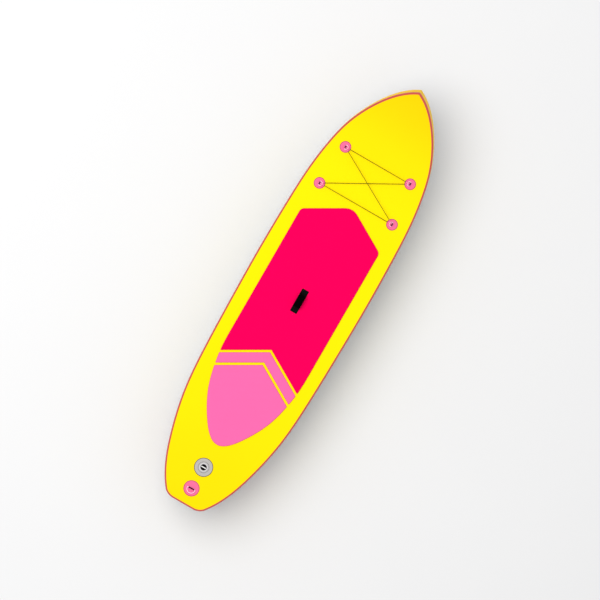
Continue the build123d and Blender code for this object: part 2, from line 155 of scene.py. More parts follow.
def unit(rows):
    """Rows of vectors, each scaled to length 1."""
    return rows / np.linalg.norm(rows, axis=1)[:, None]


def travelled(points):
    """Distance along a line at each of its points."""
    return np.concatenate([[0], np.cumsum(np.linalg.norm(np.diff(points, axis=0), axis=1))])


def cubic(points, directions=None):
    """Smooth curve through points: a function from 0 to 1 that gives places and unit tangents."""
    p = np.array(points, float)
    knots = travelled(p)

    def end_slope(k, q):
        """Slope at the first knot of the cubic through four points."""
        slope = np.zeros(2)
        for i in range(4):
            others = [j for j in range(4) if j != i]
            below = np.prod([k[i] - k[j] for j in others])
            above = sum(np.prod([k[0] - k[j] for j in others if j != skip]) for skip in others)
            slope += q[i] * above / below
        return slope

    first = end_slope(knots[:4], p[:4])
    last = end_slope(knots[::-1][:4], p[::-1][:4])
    if directions:
        first = np.array(directions[0]) * np.linalg.norm(first)
        last = np.array(directions[1]) * np.linalg.norm(last)
    count = len(p)
    step = np.diff(knots)
    system = np.eye(count)
    right = np.zeros((count, 2))
    right[0], right[-1] = first, last
    for i in range(1, count - 1):
        system[i, i - 1] = step[i]
        system[i, i] = 2 * (step[i - 1] + step[i])
        system[i, i + 1] = step[i - 1]
        right[i] = 3 * (step[i] * (p[i] - p[i - 1]) / step[i - 1] + step[i - 1] * (p[i + 1] - p[i]) / step[i])
    slopes = np.linalg.solve(system, right)

    def at(t):
        t = np.atleast_1d(t) * knots[-1]
        i = np.clip(np.searchsorted(knots, t, side="right") - 1, 0, count - 2)
        h = step[i][:, None]
        s = (t - knots[i])[:, None] / h
        a, b, c, d = p[i], p[i + 1], slopes[i] * h, slopes[i + 1] * h
        place = ((2 * s**3 - 3 * s**2 + 1) * a + (3 * s**2 - 2 * s**3) * b
                 + (s**3 - 2 * s**2 + s) * c + (s**3 - s**2) * d)
        along = ((6 * s**2 - 6 * s) * (a - b) + (3 * s**2 - 4 * s + 1) * c + (3 * s**2 - 2 * s) * d) / h
        return place, unit(along)

    return at


def spread(count, ease=0.55):
    """Parameters from 0 to 1, closer together at both ends."""
    t = np.linspace(0, 1, count)
    return (1 - ease) * t + ease * (0.5 - 0.5 * np.cos(np.pi * t))


def port_outline(count=150):
    """Points and outward normals of the hull's side, from the tail cut's corner to the nose tip."""
    centre = np.array([TAIL_X + TAIL_CORNER, TAIL_HALF_CUT])
    turns = np.radians(np.linspace(180, 135, 13))[:-1]
    corner_normals = np.stack([np.cos(turns), np.sin(turns)], 1)
    corner = centre + TAIL_CORNER * corner_normals
    start = centre + TAIL_CORNER * np.array([-math.sqrt(0.5), math.sqrt(0.5)])
    side = cubic([tuple(start), *STATIONS, (NOSE_X, 0.0)])
    tip_way = side(1.0)[1][0]
    half_angle = math.atan2(-tip_way[1], tip_way[0])
    cut_back = TIP_ROUND / math.tan(half_angle)
    t = spread(count)
    place, along = side(t)
    keep = np.linalg.norm(place - place[-1], axis=1) > cut_back * 1.02
    place, along = place[keep], along[keep]
    normals = np.stack([-along[:, 1], along[:, 0]], 1)
    tip_centre = np.array([NOSE_X - TIP_ROUND / math.sin(half_angle), 0.0])
    turns = np.linspace(math.pi / 2 - half_angle, 0, 9)
    tip_normals = np.stack([np.cos(turns), np.sin(turns)], 1)
    tip = tip_centre + TIP_ROUND * tip_normals
    return np.concatenate([corner, place, tip]), np.concatenate([corner_normals, normals, tip_normals])


PORT, PORT_NORMAL = port_outline()


def closed_outline():
    """The whole outline once round, from the middle of the tail cut by way of port."""
    cut_y = np.linspace(0, TAIL_HALF_CUT, 7)[:-1]
    cut = np.stack([np.full(len(cut_y), TAIL_X), cut_y], 1)
    cut_normal = np.tile([-1.0, 0.0], (len(cut_y), 1))
    half = np.concatenate([cut, PORT])
    normal = np.concatenate([cut_normal, PORT_NORMAL])
    flip = np.array([1.0, -1.0])
    return [np.concatenate([rows, (rows[1:-1] * flip)[::-1]]) for rows in (half, normal)]


RING, RING_NORMAL = closed_outline()


def bend(s, y, h):
    """Place in the part's frame of a point at station s, across y, and h above the bottom face."""
    s, y, h = np.broadcast_arrays(np.asarray(s, float), np.asarray(y, float), np.asarray(h, float))
    angle = np.arcsin(np.clip(s - ROCKER_START, 0, None) / ROCKER_RADIUS)
    x = np.where(s <= ROCKER_START, s, ROCKER_START + (ROCKER_RADIUS - h) * np.sin(angle))
    z = np.where(s <= ROCKER_START, h, ROCKER_RADIUS - (ROCKER_RADIUS - h) * np.cos(angle))
    return np.stack([x, y, z], -1)


def deck_frame(x, y):
    """Frame on the deck at (x, y), local Z square to the deck and local X forward along it."""
    angle = math.asin(max(0.0, x - ROCKER_START) / DECK_RADIUS)
    rise = DECK_RADIUS * (1 - math.cos(angle))
    return Matrix.Translation((x, y, THICK + rise)) @ Matrix.Rotation(-angle, 4, "Y")


# ================================================================ materials

class Shader:
    """A Principled material put together from nodes."""

    def __init__(self, name, **fixed):
        self.material = bpy.data.materials.new(name)
        self.material.use_nodes = True
        self.tree = self.material.node_tree
        self.bsdf = next(n for n in self.tree.nodes if n.type == "BSDF_PRINCIPLED")
        for socket, value in fixed.items():
            self.bsdf.inputs[socket.replace("_", " ")].default_value = value
        self.coordinates = self.node("ShaderNodeTexCoord").outputs["Object"]

    def node(self, kind, inputs=(), **settings):
        made = self.tree.nodes.new(kind)
        for key, value in settings.items():
            setattr(made, key, value)
        for key, value in dict(inputs).items():
            if isinstance(value, bpy.types.NodeSocket):
                self.tree.links.new(value, made.inputs[key])
            else:
                made.inputs[key].default_value = value
        return made

    def scaled(self, factors):
        """Coordinates stretched by three factors."""
        inputs = {"Vector": self.coordinates, "Scale": factors}
        return self.node("ShaderNodeMapping", inputs).outputs["Vector"]

    def flow(self):
        """Coordinates along and across a strip, in metres."""
        return self.node("ShaderNodeUVMap", uv_map="flow").outputs["UV"]

    def noise(self, scale, detail=3.0, rough=0.5, vector=None):
        inputs = {"Vector": vector or self.coordinates, "Scale": scale, "Detail": detail, "Roughness": rough}
        return self.node("ShaderNodeTexNoise", inputs).outputs["Fac"]

    def cells(self, scale):
        inputs = {"Vector": self.coordinates, "Scale": scale}
        return self.node("ShaderNodeTexVoronoi", inputs, feature="F1").outputs["Distance"]

    def waves(self, scale, axis, vector=None, distortion=0.0):
        inputs = {"Vector": vector or self.coordinates, "Scale": scale, "Distortion": distortion}
        made = self.node("ShaderNodeTexWave", inputs, bands_direction=axis, wave_profile="SIN")
        return made.outputs["Fac"]

    def calc(self, operation, *values):
        made = self.node("ShaderNodeMath", operation=operation)
        for socket, value in zip(made.inputs, values):
            if isinstance(value, bpy.types.NodeSocket):
                self.tree.links.new(value, socket)
            else:
                socket.default_value = value
        return made.outputs[0]

    def axis(self, letter, vector=None):
        source = vector or self.coordinates
        return self.node("ShaderNodeSeparateXYZ", {"Vector": source}).outputs[letter]

    def ramp(self, factor, *stops):
        """Colours by position; each stop is (position, (r, g, b))."""
        made = self.node("ShaderNodeValToRGB", {"Fac": factor})
        elements = made.color_ramp.elements
        while len(elements) < len(stops):
            elements.new(0.5)
        for element, (position, colour) in zip(elements, stops):
            element.position = position
            element.color = (*colour, 1)
        return made.outputs["Color"]

    def span(self, factor, low, high, to_low=0.0, to_high=1.0):
        """A value taken from one range to another, and held at the ends."""
        made = self.node("ShaderNodeMapRange", {
            "Value": factor, "From Min": low, "From Max": high, "To Min": to_low, "To Max": to_high})
        return made.outputs["Result"]

    def mix(self, factor, first, second, blend="MIX"):
        made = self.node("ShaderNodeMix", data_type="RGBA", blend_type=blend)
        for index, value in ((0, factor), (6, first), (7, second)):
            if isinstance(value, bpy.types.NodeSocket):
                self.tree.links.new(value, made.inputs[index])
            elif index == 0:
                made.inputs[index].default_value = value
            else:
                made.inputs[index].default_value = (*value, 1)
        return made.outputs[2]

    def bump(self, height, distance, strength=1.0, under=None):
        inputs = {"Height": height, "Distance": distance, "Strength": strength}
        if under is not None:
            inputs["Normal"] = under
        return self.node("ShaderNodeBump", inputs).outputs["Normal"]

    def done(self, colour=None, rough=None, normal=None):
        for socket, value in (("Base Color", colour), ("Roughness", rough), ("Normal", normal)):
            if value is not None:
                self.tree.links.new(value, self.bsdf.inputs[socket])
        return self.material


YARN = 0.0013               # pitch of the yarns under the coating
YARN_RELIEF = 0.00012
FOAM_PITCH = 0.009          # diamond grooves of the pads
FOAM_GROOVE = 0.0007
BRAID_PITCH = 0.0026
TRACER_PITCH = 0.0065


def shade(colour, factor):
    return tuple(min(1.0, c * factor) for c in colour)


def coated_fabric(name, colour, rough=(0.36, 0.5), along=None, specular=0.1):
    """PVC-coated fabric: yarns that show faintly through, a fine grain, and light scuffs."""
    s = Shader(name, Specular_IOR_Level=specular)
    # With along given, the base colour follows that ramp from tail to nose; for the yellow skins this ramp is
    # painted shade towards both ends.
    if along:
        base = s.ramp(s.span(s.axis("X"), TAIL_X, NOSE_X), *along)
    else:
        base = s.mix(s.noise(7.0, 2.0), shade(colour, 0.975), shade(colour, 1.02))
    tone = s.span(s.noise(2.3, 3.0), 0.3, 0.7, 0.0, 1.0)
    toned = s.mix(s.calc("MULTIPLY", tone, 0.5), base, s.mix(1.0, base, (0.97, 0.97, 0.97), "MULTIPLY"))
    scuff = s.span(s.noise(160.0, 6.0, 0.62, s.scaled((0.35, 1.0, 1.0))), 0.66, 0.74)
    worn = s.mix(s.calc("MULTIPLY", scuff, 0.12), toned, shade(colour, 0.8))
    turn = 2 * math.pi / YARN
    lengthwise = s.calc("SINE", s.calc("MULTIPLY", s.axis("X"), turn))
    widthwise = s.calc("SINE", s.calc("MULTIPLY", s.calc("ADD", s.axis("Y"), s.axis("Z")), turn))
    yarns = s.calc("MULTIPLY", lengthwise, widthwise)
    worn = s.mix(s.span(yarns, -1.0, 1.0, 0.0, 0.5), worn, s.mix(1.0, worn, (0.88, 0.88, 0.88), "MULTIPLY"))
    grain = s.cells(2600.0)
    normal = s.bump(yarns, YARN_RELIEF, 0.6)
    normal = s.bump(grain, 0.00003, 0.5, normal)
    normal = s.bump(s.noise(18.0, 3.0), 0.0008, 0.4, normal)
    roughness = s.span(s.calc("ADD", s.noise(40.0, 4.0), s.calc("MULTIPLY", scuff, 0.4)), 0.3, 0.9, *rough)
    return s.done(worn, roughness, normal)


def foam(name, colour):
    """Brushed EVA: fine streaks, open pores, shallow diamond grooves and rubbed high spots."""
    s = Shader(name, Specular_IOR_Level=0.03)
    streak = s.noise(900.0, 3.0, 0.6, s.scaled((0.12, 1.0, 1.0)))
    pores = s.cells(1500.0)
    across = s.scaled((1.0, PAD_SLOPE, 1.0))
    down_left = s.calc("ADD", s.axis("X", across), s.axis("Y", across))
    down_right = s.calc("SUBTRACT", s.axis("X", across), s.axis("Y", across))
    lines = None
    for diagonal in (down_left, down_right):
        fold = s.calc("PINGPONG", diagonal, FOAM_PITCH / 2)
        groove = s.span(fold, 0.0, FOAM_GROOVE, 1.0, 0.0)
        lines = groove if lines is None else s.calc("MAXIMUM", lines, groove)
    rub = s.span(s.noise(5.0, 4.0, 0.6), 0.35, 0.75)
    base = s.mix(s.span(streak, 0.3, 0.7), shade(colour, 0.955), shade(colour, 1.03))
    base = s.mix(s.calc("MULTIPLY", rub, 0.25), base, shade(colour, 1.05))
    # Grooves and pores are also darkened in the colour: painted shade in these hollows.
    base = s.mix(s.calc("MULTIPLY", lines, 0.6), base, shade(colour, 0.6))
    base = s.mix(s.span(pores, 0.0, 0.2, 0.5, 0.0), base, shade(colour, 0.66))
    height = s.calc("SUBTRACT", s.calc("MULTIPLY", streak, 0.16), lines)
    normal = s.bump(height, 0.0004, 0.7)
    normal = s.bump(pores, 0.0001, 0.6, normal)
    return s.done(base, s.span(streak, 0.2, 0.8, 0.78, 0.92), normal)


def webbing(name, colour, rib=0.0016, contrast=0.35, sheen=0.12, specular=0.2):
    """Woven tape: ribs across it, yarns along it, and a slightly fuzzy sheen."""
    s = Shader(name, Specular_IOR_Level=specular, Sheen_Weight=sheen, Sheen_Roughness=0.45)
    flow = s.flow()
    across = s.waves(1 / rib / 2, "X", flow, 0.3)
    along = s.waves(1 / rib, "Y", flow, 0.3)
    over = s.calc("MULTIPLY", across, along)
    fuzz = s.noise(2200.0, 3.0)
    # Raised yarns lighter and the hollows between them darker: painted light and shade of the weave.
    base = s.mix(s.span(over, 0.0, 0.8), shade(colour, 1 - contrast), shade(colour, 1 + contrast))
    base = s.mix(s.span(fuzz, 0.5, 0.8, 0.0, 0.35), base, shade(colour, 1.5))
    normal = s.bump(over, 0.0004, 0.8)
    normal = s.bump(fuzz, 0.0001, 0.5, normal)
    return s.done(base, s.span(fuzz, 0.2, 0.8, 0.65, 0.85), normal)


def braid(name, colour, tracer):
    """Braided cover of a stretch cord, with a few lighter yarns."""
    s = Shader(name, Specular_IOR_Level=0.1, Sheen_Weight=0.02, Sheen_Roughness=0.4)
    flow = s.flow()
    along, around = s.axis("X", flow), s.axis("Y", flow)
    left = s.calc("ADD", along, around)
    right = s.calc("SUBTRACT", along, around)
    half = BRAID_PITCH / 2
    ridges = s.calc("MAXIMUM", s.calc("PINGPONG", left, half), s.calc("PINGPONG", right, half))
    height = s.span(ridges, 0.0, half)
    mark = s.span(s.calc("PINGPONG", left, TRACER_PITCH), 0.0, half, 1.0, 0.0)
    # Ridges lighter and the hollows between them darker: painted light and shade of the braid; the tracer
    # yarns below are real colour.
    base = s.mix(height, shade(colour, 0.45), shade(colour, 1.5))
    base = s.mix(s.calc("MULTIPLY", mark, 0.5), base, tracer)
    normal = s.bump(height, 0.0004, 0.9)
    normal = s.bump(s.noise(3000.0, 2.0), 0.00008, 0.4, normal)
    return s.done(base, s.span(height, 0.0, 1.0, 0.75, 0.5), normal)


def neoprene(name, colour):
    """Foam sleeve faced with a fine knit."""
    s = Shader(name, Specular_IOR_Level=0.015, Sheen_Weight=0.004, Sheen_Roughness=0.5)
    flow = s.flow()
    knit = s.calc("MULTIPLY", s.waves(420.0, "X", flow, 1.5), s.waves(260.0, "Y", flow, 1.5))
    lint = s.noise(1400.0, 4.0)
    # Raised knit loops lighter and the hollows between them darker: painted light and shade of the knit.
    base = s.mix(knit, shade(colour, 0.7), shade(colour, 1.35))
    base = s.mix(s.span(lint, 0.55, 0.8, 0.0, 0.3), base, shade(colour, 1.9))
    normal = s.bump(knit, 0.0003, 0.7)
    normal = s.bump(lint, 0.0002, 0.4, normal)
    return s.done(base, s.span(lint, 0.2, 0.8, 0.75, 0.92), normal)


def moulded(name, colour, rough=(0.28, 0.42), coat=0.0, specular=0.5):
    """Injection-moulded plastic or rubber: fine spark texture, flow marks and small scratches."""
    s = Shader(name, Specular_IOR_Level=specular, Coat_Weight=coat, Coat_Roughness=0.25)
    spark = s.noise(900.0, 4.0, 0.6)
    flow_mark = s.noise(24.0, 2.0, 0.5, s.scaled((1.0, 2.5, 1.0)))
    scratch = s.span(s.noise(260.0, 5.0, 0.7, s.scaled((0.15, 1.0, 0.6))), 0.68, 0.73)
    base = s.mix(flow_mark, shade(colour, 0.94), shade(colour, 1.05))
    base = s.mix(s.calc("MULTIPLY", scratch, 0.25), base, shade(colour, 1.25))
    normal = s.bump(spark, 0.00004, 0.6)
    roughness = s.span(s.calc("ADD", spark, s.calc("MULTIPLY", scratch, 0.5)), 0.3, 0.9, *rough)
    return s.done(base, roughness, normal)


def metal(name, colour):
    """Machined metal with turning marks and dull patches."""
    s = Shader(name, Metallic=1.0)
    turning = s.noise(700.0, 3.0, 0.6, s.scaled((1.0, 1.0, 0.15)))
    dull = s.noise(90.0, 4.0)
    base = s.mix(s.span(dull, 0.35, 0.75), shade(colour, 0.8), colour)
    return s.done(base, s.span(dull, 0.3, 0.8, 0.18, 0.34), s.bump(turning, 0.00003, 0.5))


def core_weave(name, colour):
    """Plain-woven core fabric and its tie threads."""
    s = Shader(name, Specular_IOR_Level=0.2, Sheen_Weight=0.2)
    over = s.calc("MULTIPLY", s.waves(500.0, "X", None, 0.2), s.waves(500.0, "Y", None, 0.2))
    lint = s.noise(1500.0, 3.0)
    # Yarn crossings lighter and the hollows between them darker: painted shade of the weave.
    base = s.mix(over, shade(colour, 0.8), shade(colour, 1.05))
    base = s.mix(s.span(lint, 0.5, 0.8, 0.0, 0.4), base, shade(colour, 0.9))
    return s.done(base, s.span(lint, 0.2, 0.8, 0.7, 0.9), s.bump(over, 0.0003, 0.6))


def fin_plastic(name, colour):
    """Flexible fin: moulded grain, with sand scuffs that grow towards the tip."""
    s = Shader(name, Specular_IOR_Level=0.4, Subsurface_Weight=0.08, Subsurface_Scale=0.004)
    grain = s.noise(1100.0, 3.0, 0.55)
    sand = s.noise(300.0, 6.0, 0.7, s.scaled((0.3, 1.0, 1.0)))
    low = s.span(s.axis("Z"), -0.02, -0.22)
    scuff = s.calc("MULTIPLY", s.span(sand, 0.55, 0.7), s.span(low, 0.0, 1.0, 0.1, 0.7))
    base = s.mix(s.noise(12.0, 2.0), shade(colour, 0.92), shade(colour, 1.05))
    base = s.mix(scuff, base, (0.9, 0.62, 0.74))
    rough = s.span(s.calc("ADD", grain, scuff), 0.3, 1.4, 0.3, 0.65)
    return s.done(base, rough, s.bump(s.calc("SUBTRACT", grain, scuff), 0.00006, 0.6))


YELLOW = (0.97, 0.768, 0.001)
# Yellow from tail to nose, darker and more orange towards both ends: painted shade of the ends, not a change
# in the fabric's colour.
YELLOW_PAINTED_SHADE_ALONG = [
    (0.0, (0.97, 0.685, 0.001)),
    (0.10, (0.97, 0.70, 0.001)),
    (0.20, (0.97, 0.735, 0.001)),
    (0.50, (0.97, 0.775, 0.001)),
    (0.76, (0.97, 0.765, 0.001)),
    (0.86, (0.97, 0.71, 0.001)),
    (0.93, (0.97, 0.64, 0.001)),
    (1.0, (0.97, 0.585, 0.001)),
]
LOOKS = {
    "yellow_pvc": coated_fabric("yellow_pvc", YELLOW, along=YELLOW_PAINTED_SHADE_ALONG, specular=0.05),
    "yellow_wall": coated_fabric("yellow_wall", YELLOW, along=YELLOW_PAINTED_SHADE_ALONG, specular=0.02),
    "white_pvc": coated_fabric("white_pvc", (0.74, 0.74, 0.73)),
    "pink_tape": coated_fabric("pink_tape", (0.55, 0.08, 0.068), rough=(0.34, 0.46)),
    "pink_patch": coated_fabric("pink_patch", (0.82, 0.15, 0.315)),
    "black_pvc": coated_fabric("black_pvc", (0.002, 0.002, 0.002), specular=0.08),
    "grey_pvc": coated_fabric("grey_pvc", (0.455, 0.435, 0.415), rough=(0.42, 0.55)),
    "magenta_foam": foam("magenta_foam", (0.90, 0.0, 0.091)),
    "pink_foam": foam("pink_foam", (0.90, 0.135, 0.38)),
    # Darker foam for the pads' bevelled edges: painted shade along the edges.
    "magenta_edge_painted_shade": foam("magenta_edge_painted_shade", (0.52, 0.0, 0.03)),
    "pink_edge_painted_shade": foam("pink_edge_painted_shade", (0.56, 0.08, 0.17)),
    "black_webbing": webbing(
        "black_webbing", (0.0045, 0.0045, 0.0045), contrast=0.6, sheen=0.01, specular=0.03),
    "maroon_webbing": webbing("maroon_webbing", (0.026, 0.0006, 0.007), sheen=0.01, specular=0.04),
    "black_neoprene": neoprene("black_neoprene", (0.0015, 0.0013, 0.0013)),
    "bungee_cover": braid("bungee_cover", (0.095, 0.08, 0.002), (0.28, 0.24, 0.004)),
    "light_pink_plastic": moulded("light_pink_plastic", (0.97, 0.62, 0.80), coat=0.2, specular=0.35),
    "valve_plastic": moulded("valve_plastic", (0.60, 0.58, 0.58), specular=0.25),
    "dark_plastic": moulded("dark_plastic", (0.004, 0.004, 0.004), rough=(0.5, 0.65), specular=0.12),
    "black_rubber": moulded("black_rubber", (0.013, 0.013, 0.013), rough=(0.6, 0.75), specular=0.3),
    "core_fabric": core_weave("core_fabric", (0.66, 0.66, 0.62)),
    "steel": metal("steel", (0.56, 0.57, 0.58)),
    "brass": metal("brass", (0.72, 0.52, 0.2)),
    "grey_thread": webbing("grey_thread", (0.03, 0.03, 0.032), rib=0.0006, sheen=0.02, specular=0.1),
    # Darker colours for the patches' welded rims: partly the weld line's own colour, partly painted shade
    # along each patch's edge.
    "pink_rim": coated_fabric("pink_rim", (0.46, 0.055, 0.115)),
    "grey_rim": coated_fabric("grey_rim", (0.075, 0.075, 0.05)),
    "grey_plastic": moulded("grey_plastic", (0.48, 0.465, 0.47), rough=(0.4, 0.55), specular=0.25),
    "pink_sleeve": moulded("pink_sleeve", (0.86, 0.22, 0.44), rough=(0.45, 0.6), specular=0.3),
    "light_plastic": moulded("light_plastic", (0.82, 0.81, 0.78), specular=0.3),
    "pink_fin": fin_plastic("pink_fin", (0.80, 0.10, 0.30)),
}


# ================================================================ meshes

def piece(name, verts, faces, look, body="board", replaces=(), slot=None, flow=None, smooth=32.0,
          second=None, second_faces=()):
    """A mesh object with its finish, riding on a body.

    flow gives each vertex of each face its place on a strip. second is another finish, for the faces
    that second_faces numbers.
    """
    mesh = bpy.data.meshes.new(name)
    mesh.from_pydata([tuple(map(float, v)) for v in verts], [], [tuple(map(int, f)) for f in faces])
    if second:
        index = np.zeros(len(faces), np.int32)
        index[list(second_faces)] = 1
        mesh.polygons.foreach_set("material_index", index)
    if flow is not None:
        layer = mesh.uv_layers.new(name="flow")
        layer.data.foreach_set("uv", np.asarray(flow, np.float32).ravel())
    mesh.polygons.foreach_set("use_smooth", [True] * len(mesh.polygons))
    mesh.set_sharp_from_angle(angle=math.radians(smooth))
    mesh.materials.append(LOOKS[look])
    if second:
        mesh.materials.append(LOOKS[second])
    mesh.update()
    made = bpy.data.objects.new(name, mesh)
    bpy.context.scene.collection.objects.link(made)
    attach(made, body)
    slot or look
    if replaces:
        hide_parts(*replaces)
    return made


def grid_faces(rows, columns, first=0, flip=False, wrap_rows=False, wrap_columns=False):
    """Quads of a grid of rows x columns vertices."""
    faces = []
    for i in range(rows if wrap_rows else rows - 1):
        for j in range(columns if wrap_columns else columns - 1):
            k, m = (i + 1) % rows, (j + 1) % columns
            quad = (i * columns + j, i * columns + m, k * columns + m, k * columns + j)
            faces.append(tuple(first + q for q in (quad[::-1] if flip else quad)))
    return faces


def end_caps(rows, count):
    """Faces that close both ends of a tube of rows rings, count vertices each."""
    return [tuple(range(count))[::-1], tuple(range((rows - 1) * count, rows * count))]


def shell(name, outer, inner, look, **rest):
    """Closed sheet between two grids of points."""
    rows, columns = outer.shape[:2]
    count = rows * columns
    verts = np.concatenate([outer.reshape(-1, 3), inner.reshape(-1, 3)])
    faces = grid_faces(rows, columns) + grid_faces(rows, columns, count, True)
    border = [(0, j) for j in range(columns)] + [(i, columns - 1) for i in range(1, rows)]
    border += [(rows - 1, j) for j in range(columns - 2, -1, -1)] + [(i, 0) for i in range(rows - 2, 0, -1)]
    around = [i * columns + j for i, j in border]
    for a, b in zip(around, around[1:] + around[:1]):
        faces.append((b, a, a + count, b + count))
    return piece(name, verts, faces, look, **rest)


def bulge_at(s):
    """Swell of the side wall at a station."""
    t = np.clip((np.asarray(s, float) - 0.75) / 0.75, 0, 1)
    return RAIL_BULGE + (NOSE_BULGE - RAIL_BULGE) * t * t * (3 - 2 * t)


def loop_band(name, section, look, **rest):
    """Closed section, as a function of the wall's swell, taken once round the hull."""
    sections = np.array([section(bulge) for bulge in bulge_at(RING[:, 0])])
    inset, height = sections[..., 0], sections[..., 1]
    s = RING[:, :1] - inset * RING_NORMAL[:, :1]
    y = RING[:, 1:] - inset * RING_NORMAL[:, 1:]
    verts = bend(s, y, height)
    faces = grid_faces(len(RING), sections.shape[1], flip=True, wrap_rows=True, wrap_columns=True)
    return piece(name, verts.reshape(-1, 3), faces, look, **rest)


def wall_inset(height, bulge):
    """How far the swollen side wall lies inside the widest line, at a height."""
    t = (np.asarray(height, float) - THICK / 2) / (THICK / 2)
    return bulge * np.abs(t) ** 3


def edge_line(bulge, out=0.0, deck_inset=TAPE_DECK, wall_height=THICK - TAPE_WALL):
    """(inset, height) from the deck round its edge and down the wall, moved out from the hull's face."""
    slope = 3 * bulge / (THICK / 2)
    turn = math.pi / 2 - math.atan(slope)
    reach = EDGE_ROUND * math.tan(turn / 2)
    centre = (bulge + reach, THICK - EDGE_ROUND)
    line = [(deck_inset, THICK + out)]
    for step in np.linspace(0, 1, 7):
        angle = math.pi / 2 - step * turn
        radius = EDGE_ROUND + out
        line.append((centre[0] - radius * math.cos(angle), centre[1] + radius * math.sin(angle)))
    lowest = line[-1][1]
    for height in np.linspace(lowest, wall_height, 6)[1:]:
        line.append((float(wall_inset(height, bulge)) - out, float(height)))
    return line


def tape_section(bulge):
    """Section of the deck's seam tape."""
    return edge_line(bulge, TAPE_THICK) + edge_line(bulge, 0.00002)[::-1]


def deck_sheet(name, inset, top, bottom, look, **rest):
    """Flat skin of the hull between two heights, in rows across it, closer together near the rails."""
    edge = PORT - inset * PORT_NORMAL
    edge = edge[edge[:, 1] > 0.003]
    reach = math.pi / 2 * 0.93
    across = np.sin(np.linspace(-reach, reach, 33)) / math.sin(reach)
    s = np.repeat(edge[:, :1], len(across), 1)
    y = edge[:, 1:] * across
    high = bend(s, y, np.full(s.shape, top))
    low = bend(s, y, np.full(s.shape, bottom))
    return shell(name, high[:, ::-1], low[:, ::-1], look, **rest)


def bore(sheet, radius):
    """Cut the valve's hole through a sheet."""
    shape = bmesh.new()
    bmesh.ops.create_cone(
        shape, cap_ends=True, segments=72, radius1=radius, radius2=radius, depth=0.03,
        matrix=Matrix.Translation((VALVE_X, 0, THICK)))
    cutter_mesh = bpy.data.meshes.new("bore")
    shape.to_mesh(cutter_mesh)
    shape.free()
    cutter = bpy.data.objects.new("bore", cutter_mesh)
    bpy.context.scene.collection.objects.link(cutter)
    cut = sheet.modifiers.new("bore", "BOOLEAN")
    cut.operation = "DIFFERENCE"
    cut.solver = "EXACT"
    cut.object = cutter
    whole = sheet.data
    seen = sheet.evaluated_get(bpy.context.evaluated_depsgraph_get())
    sheet.data = bpy.data.meshes.new_from_object(seen)
    sheet.modifiers.clear()
    name = whole.name
    bpy.data.meshes.remove(whole)
    sheet.data.name = name
    bpy.data.objects.remove(cutter)
    bpy.data.meshes.remove(cutter_mesh)


def make_hull():
    """Skins, rail bands, seam tapes and core fabrics."""
    core_low = CORE_DEPTH + CORE_THICK
    for name, inset, top, bottom, look, node in (
        ("deck_fabric", SKIN_EDGE, THICK, THICK - SKIN, "yellow_pvc", "deck_skin"),
        ("bottom_fabric", SKIN_EDGE, SKIN, 0.0, "white_pvc", "hull_skin"),
        ("core_sheet_top", CORE_EDGE, THICK - CORE_DEPTH, THICK - core_low, "core_fabric", "core_fabric_top"),
        ("core_sheet_bottom", CORE_EDGE, core_low, CORE_DEPTH, "core_fabric", "core_fabric_bottom"),
    ):
        made = deck_sheet(name, inset, top, bottom, look, replaces=[node])
        if top > THICK / 2:
            bore(made, VALVE_HOLE)
    loop_band("deck_tape", tape_section, "pink_tape", replaces=["deck_seam_tape"])
    loop_band(
        "bottom_tape", lambda bulge: [(inset, THICK - height) for inset, height in tape_section(bulge)][::-1],
        "yellow_wall", slot="yellow_pvc", replaces=["hull_seam_tape"])
    heights = np.linspace(THICK - RAIL_EDGE, RAIL_EDGE, 25)
    for side, sign in (("port", 1.0), ("starboard", -1.0)):
        half = np.array([[TAIL_X, 0.0], *([[TAIL_X, y] for y in np.linspace(0.02, 0.065, 4)]), *PORT])
        normal = np.array([[-1.0, 0.0]] * 5 + [list(n) for n in PORT_NORMAL])
        flip = np.array([1.0, sign])
        half, normal = half * flip, normal * flip
        for name, outside, node in (
            ("rail_band", 0.0, "rail_outer"),
            ("rail_lining", LINING_DEPTH, "rail_inner"),
        ):
            grids = []
            for depth in (outside, outside + RAIL_THICK):
                inset = wall_inset(heights, bulge_at(half[:, :1])) + depth
                s = half[:, :1] - inset * normal[:, :1]
                y = half[:, 1:] - inset * normal[:, 1:]
                y[-1] = 0.0
                grids.append(bend(s, y, np.broadcast_to(heights, s.shape)))
            outer, inner = grids
            if sign < 0:
                outer, inner = outer[::-1], inner[::-1]
            made = shell(f"{name}_{side}", outer[::-1], inner[::-1], "yellow_wall", slot="yellow_pvc",
                         replaces=[f"{node}_{side}"])
            long = float(np.sum(np.linalg.norm(np.diff(half, axis=0), axis=1)))


# ================================================================ flat slabs with worked edges

def fillet(points, radii, step=0.14):
    """Closed polygon with its corners rounded; a zero radius leaves a corner as it is."""
    made = []
    count = len(points)
    for i, (corner, radius) in enumerate(zip(points, radii)):
        corner = np.array(corner, float)
        if radius <= 0:
            made.append(corner)
            continue
        before = np.array(points[i - 1], float) - corner
        after = np.array(points[(i + 1) % count], float) - corner
        before /= np.linalg.norm(before)
        after /= np.linalg.norm(after)
        half = math.acos(np.clip(before @ after, -1, 1)) / 2
        reach = radius / math.tan(half)
        middle = corner + (before + after) / np.linalg.norm(before + after) * radius / math.sin(half)
        start = corner + before * reach - middle
        finish = corner + after * reach - middle
        turn = math.atan2(start[0] * finish[1] - start[1] * finish[0], start @ finish)
        steps = max(2, int(abs(turn) / step))
        for k in range(steps + 1):
            angle = turn * k / steps
            made.append(middle + np.array([
                start[0] * math.cos(angle) - start[1] * math.sin(angle),
                start[0] * math.sin(angle) + start[1] * math.cos(angle)]))
    return np.array(made)


